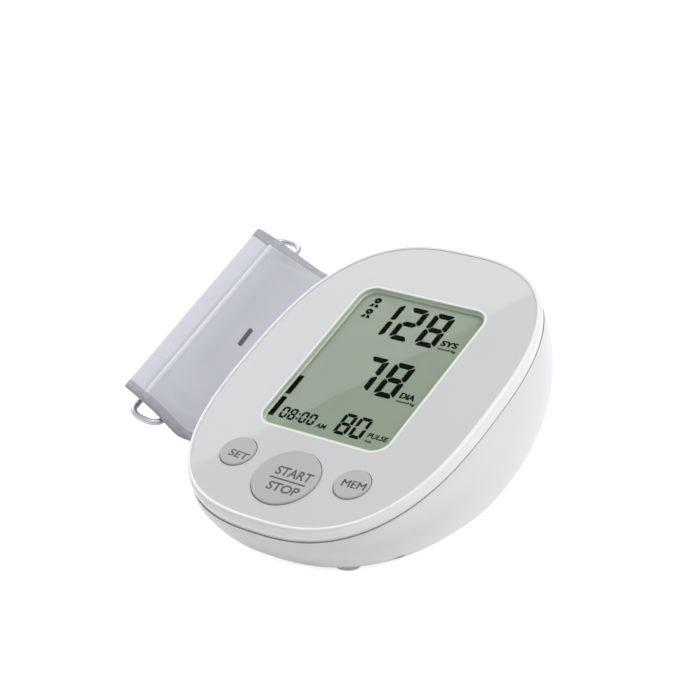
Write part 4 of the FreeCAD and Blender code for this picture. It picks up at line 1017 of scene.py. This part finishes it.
def plain_white(tree, dim, bright, out):
    """Mixes to the bright shader for rays that see the surroundings directly or in a gloss or a window."""
    path = tree.nodes.new("ShaderNodeLightPath")
    total = path.outputs["Is Camera Ray"]
    for kind in ("Is Glossy Ray", "Is Transmission Ray"):
        add = tree.nodes.new("ShaderNodeMath")
        add.operation, add.use_clamp = "ADD", True
        tree.links.new(total, add.inputs[0])
        tree.links.new(path.outputs[kind], add.inputs[1])
        total = add.outputs[0]
    mix = tree.nodes.new("ShaderNodeMixShader")
    tree.links.new(total, mix.inputs[0])
    tree.links.new(dim, mix.inputs[1])
    tree.links.new(bright, mix.inputs[2])
    tree.links.new(mix.outputs[0], out)


# The gray with which the world and the floor light the object, and what makes the floor white to the eye.
WORLD_GRAY, FLOOR_GRAY, FLOOR_GLOW = (0.410, 0.410, 0.418, 1), (0.80, 0.80, 0.80, 1), 0.78
FLOOR_HALF, FLOOR_Z = 6, -0.0002  # in metres
world = bpy.data.worlds.new("world")
scene.world = world
world.use_nodes = True
tree = world.node_tree
background = tree.nodes["Background"]
background.inputs["Color"].default_value = WORLD_GRAY
white = tree.nodes.new("ShaderNodeBackground")
white.inputs["Color"].default_value = (1, 1, 1, 1)
plain_white(tree, background.outputs[0], white.outputs[0], tree.nodes["World Output"].inputs["Surface"])

# A plain pale floor, which is white to the eye and seen through from below.
floor_mesh = bpy.data.meshes.new("floor")
corners = [(x * FLOOR_HALF, y * FLOOR_HALF, 0) for x, y in ((-1, -1), (1, -1), (1, 1), (-1, 1))]
floor_mesh.from_pydata(corners, [], [(0, 1, 2, 3)])
floor = bpy.data.objects.new("floor", floor_mesh)
floor.location.z = FLOOR_Z
scene.collection.objects.link(floor)
ground = bpy.data.materials.new("floor_white")
ground.use_nodes = True
tree = ground.node_tree
shader = tree.nodes["Principled BSDF"]
shader.inputs["Base Color"].default_value = FLOOR_GRAY
shader.inputs["Roughness"].default_value = 0.9
glow = tree.nodes.new("ShaderNodeEmission")
glow.inputs["Strength"].default_value = FLOOR_GLOW
lit = tree.nodes.new("ShaderNodeAddShader")
tree.links.new(shader.outputs[0], lit.inputs[0])
tree.links.new(glow.outputs[0], lit.inputs[1])
below = tree.nodes.new("ShaderNodeMixShader")
geometry = tree.nodes.new("ShaderNodeNewGeometry")
nothing = tree.nodes.new("ShaderNodeBsdfTransparent")
tree.links.new(geometry.outputs["Backfacing"], below.inputs[0])
tree.links.new(nothing.outputs[0], below.inputs[2])
tree.links.new(below.outputs[0], tree.nodes["Material Output"].inputs["Surface"])
plain_white(tree, shader.outputs[0], lit.outputs[0], below.inputs[1])
floor_mesh.materials.append(ground)

scene.view_settings.view_transform = "Standard"
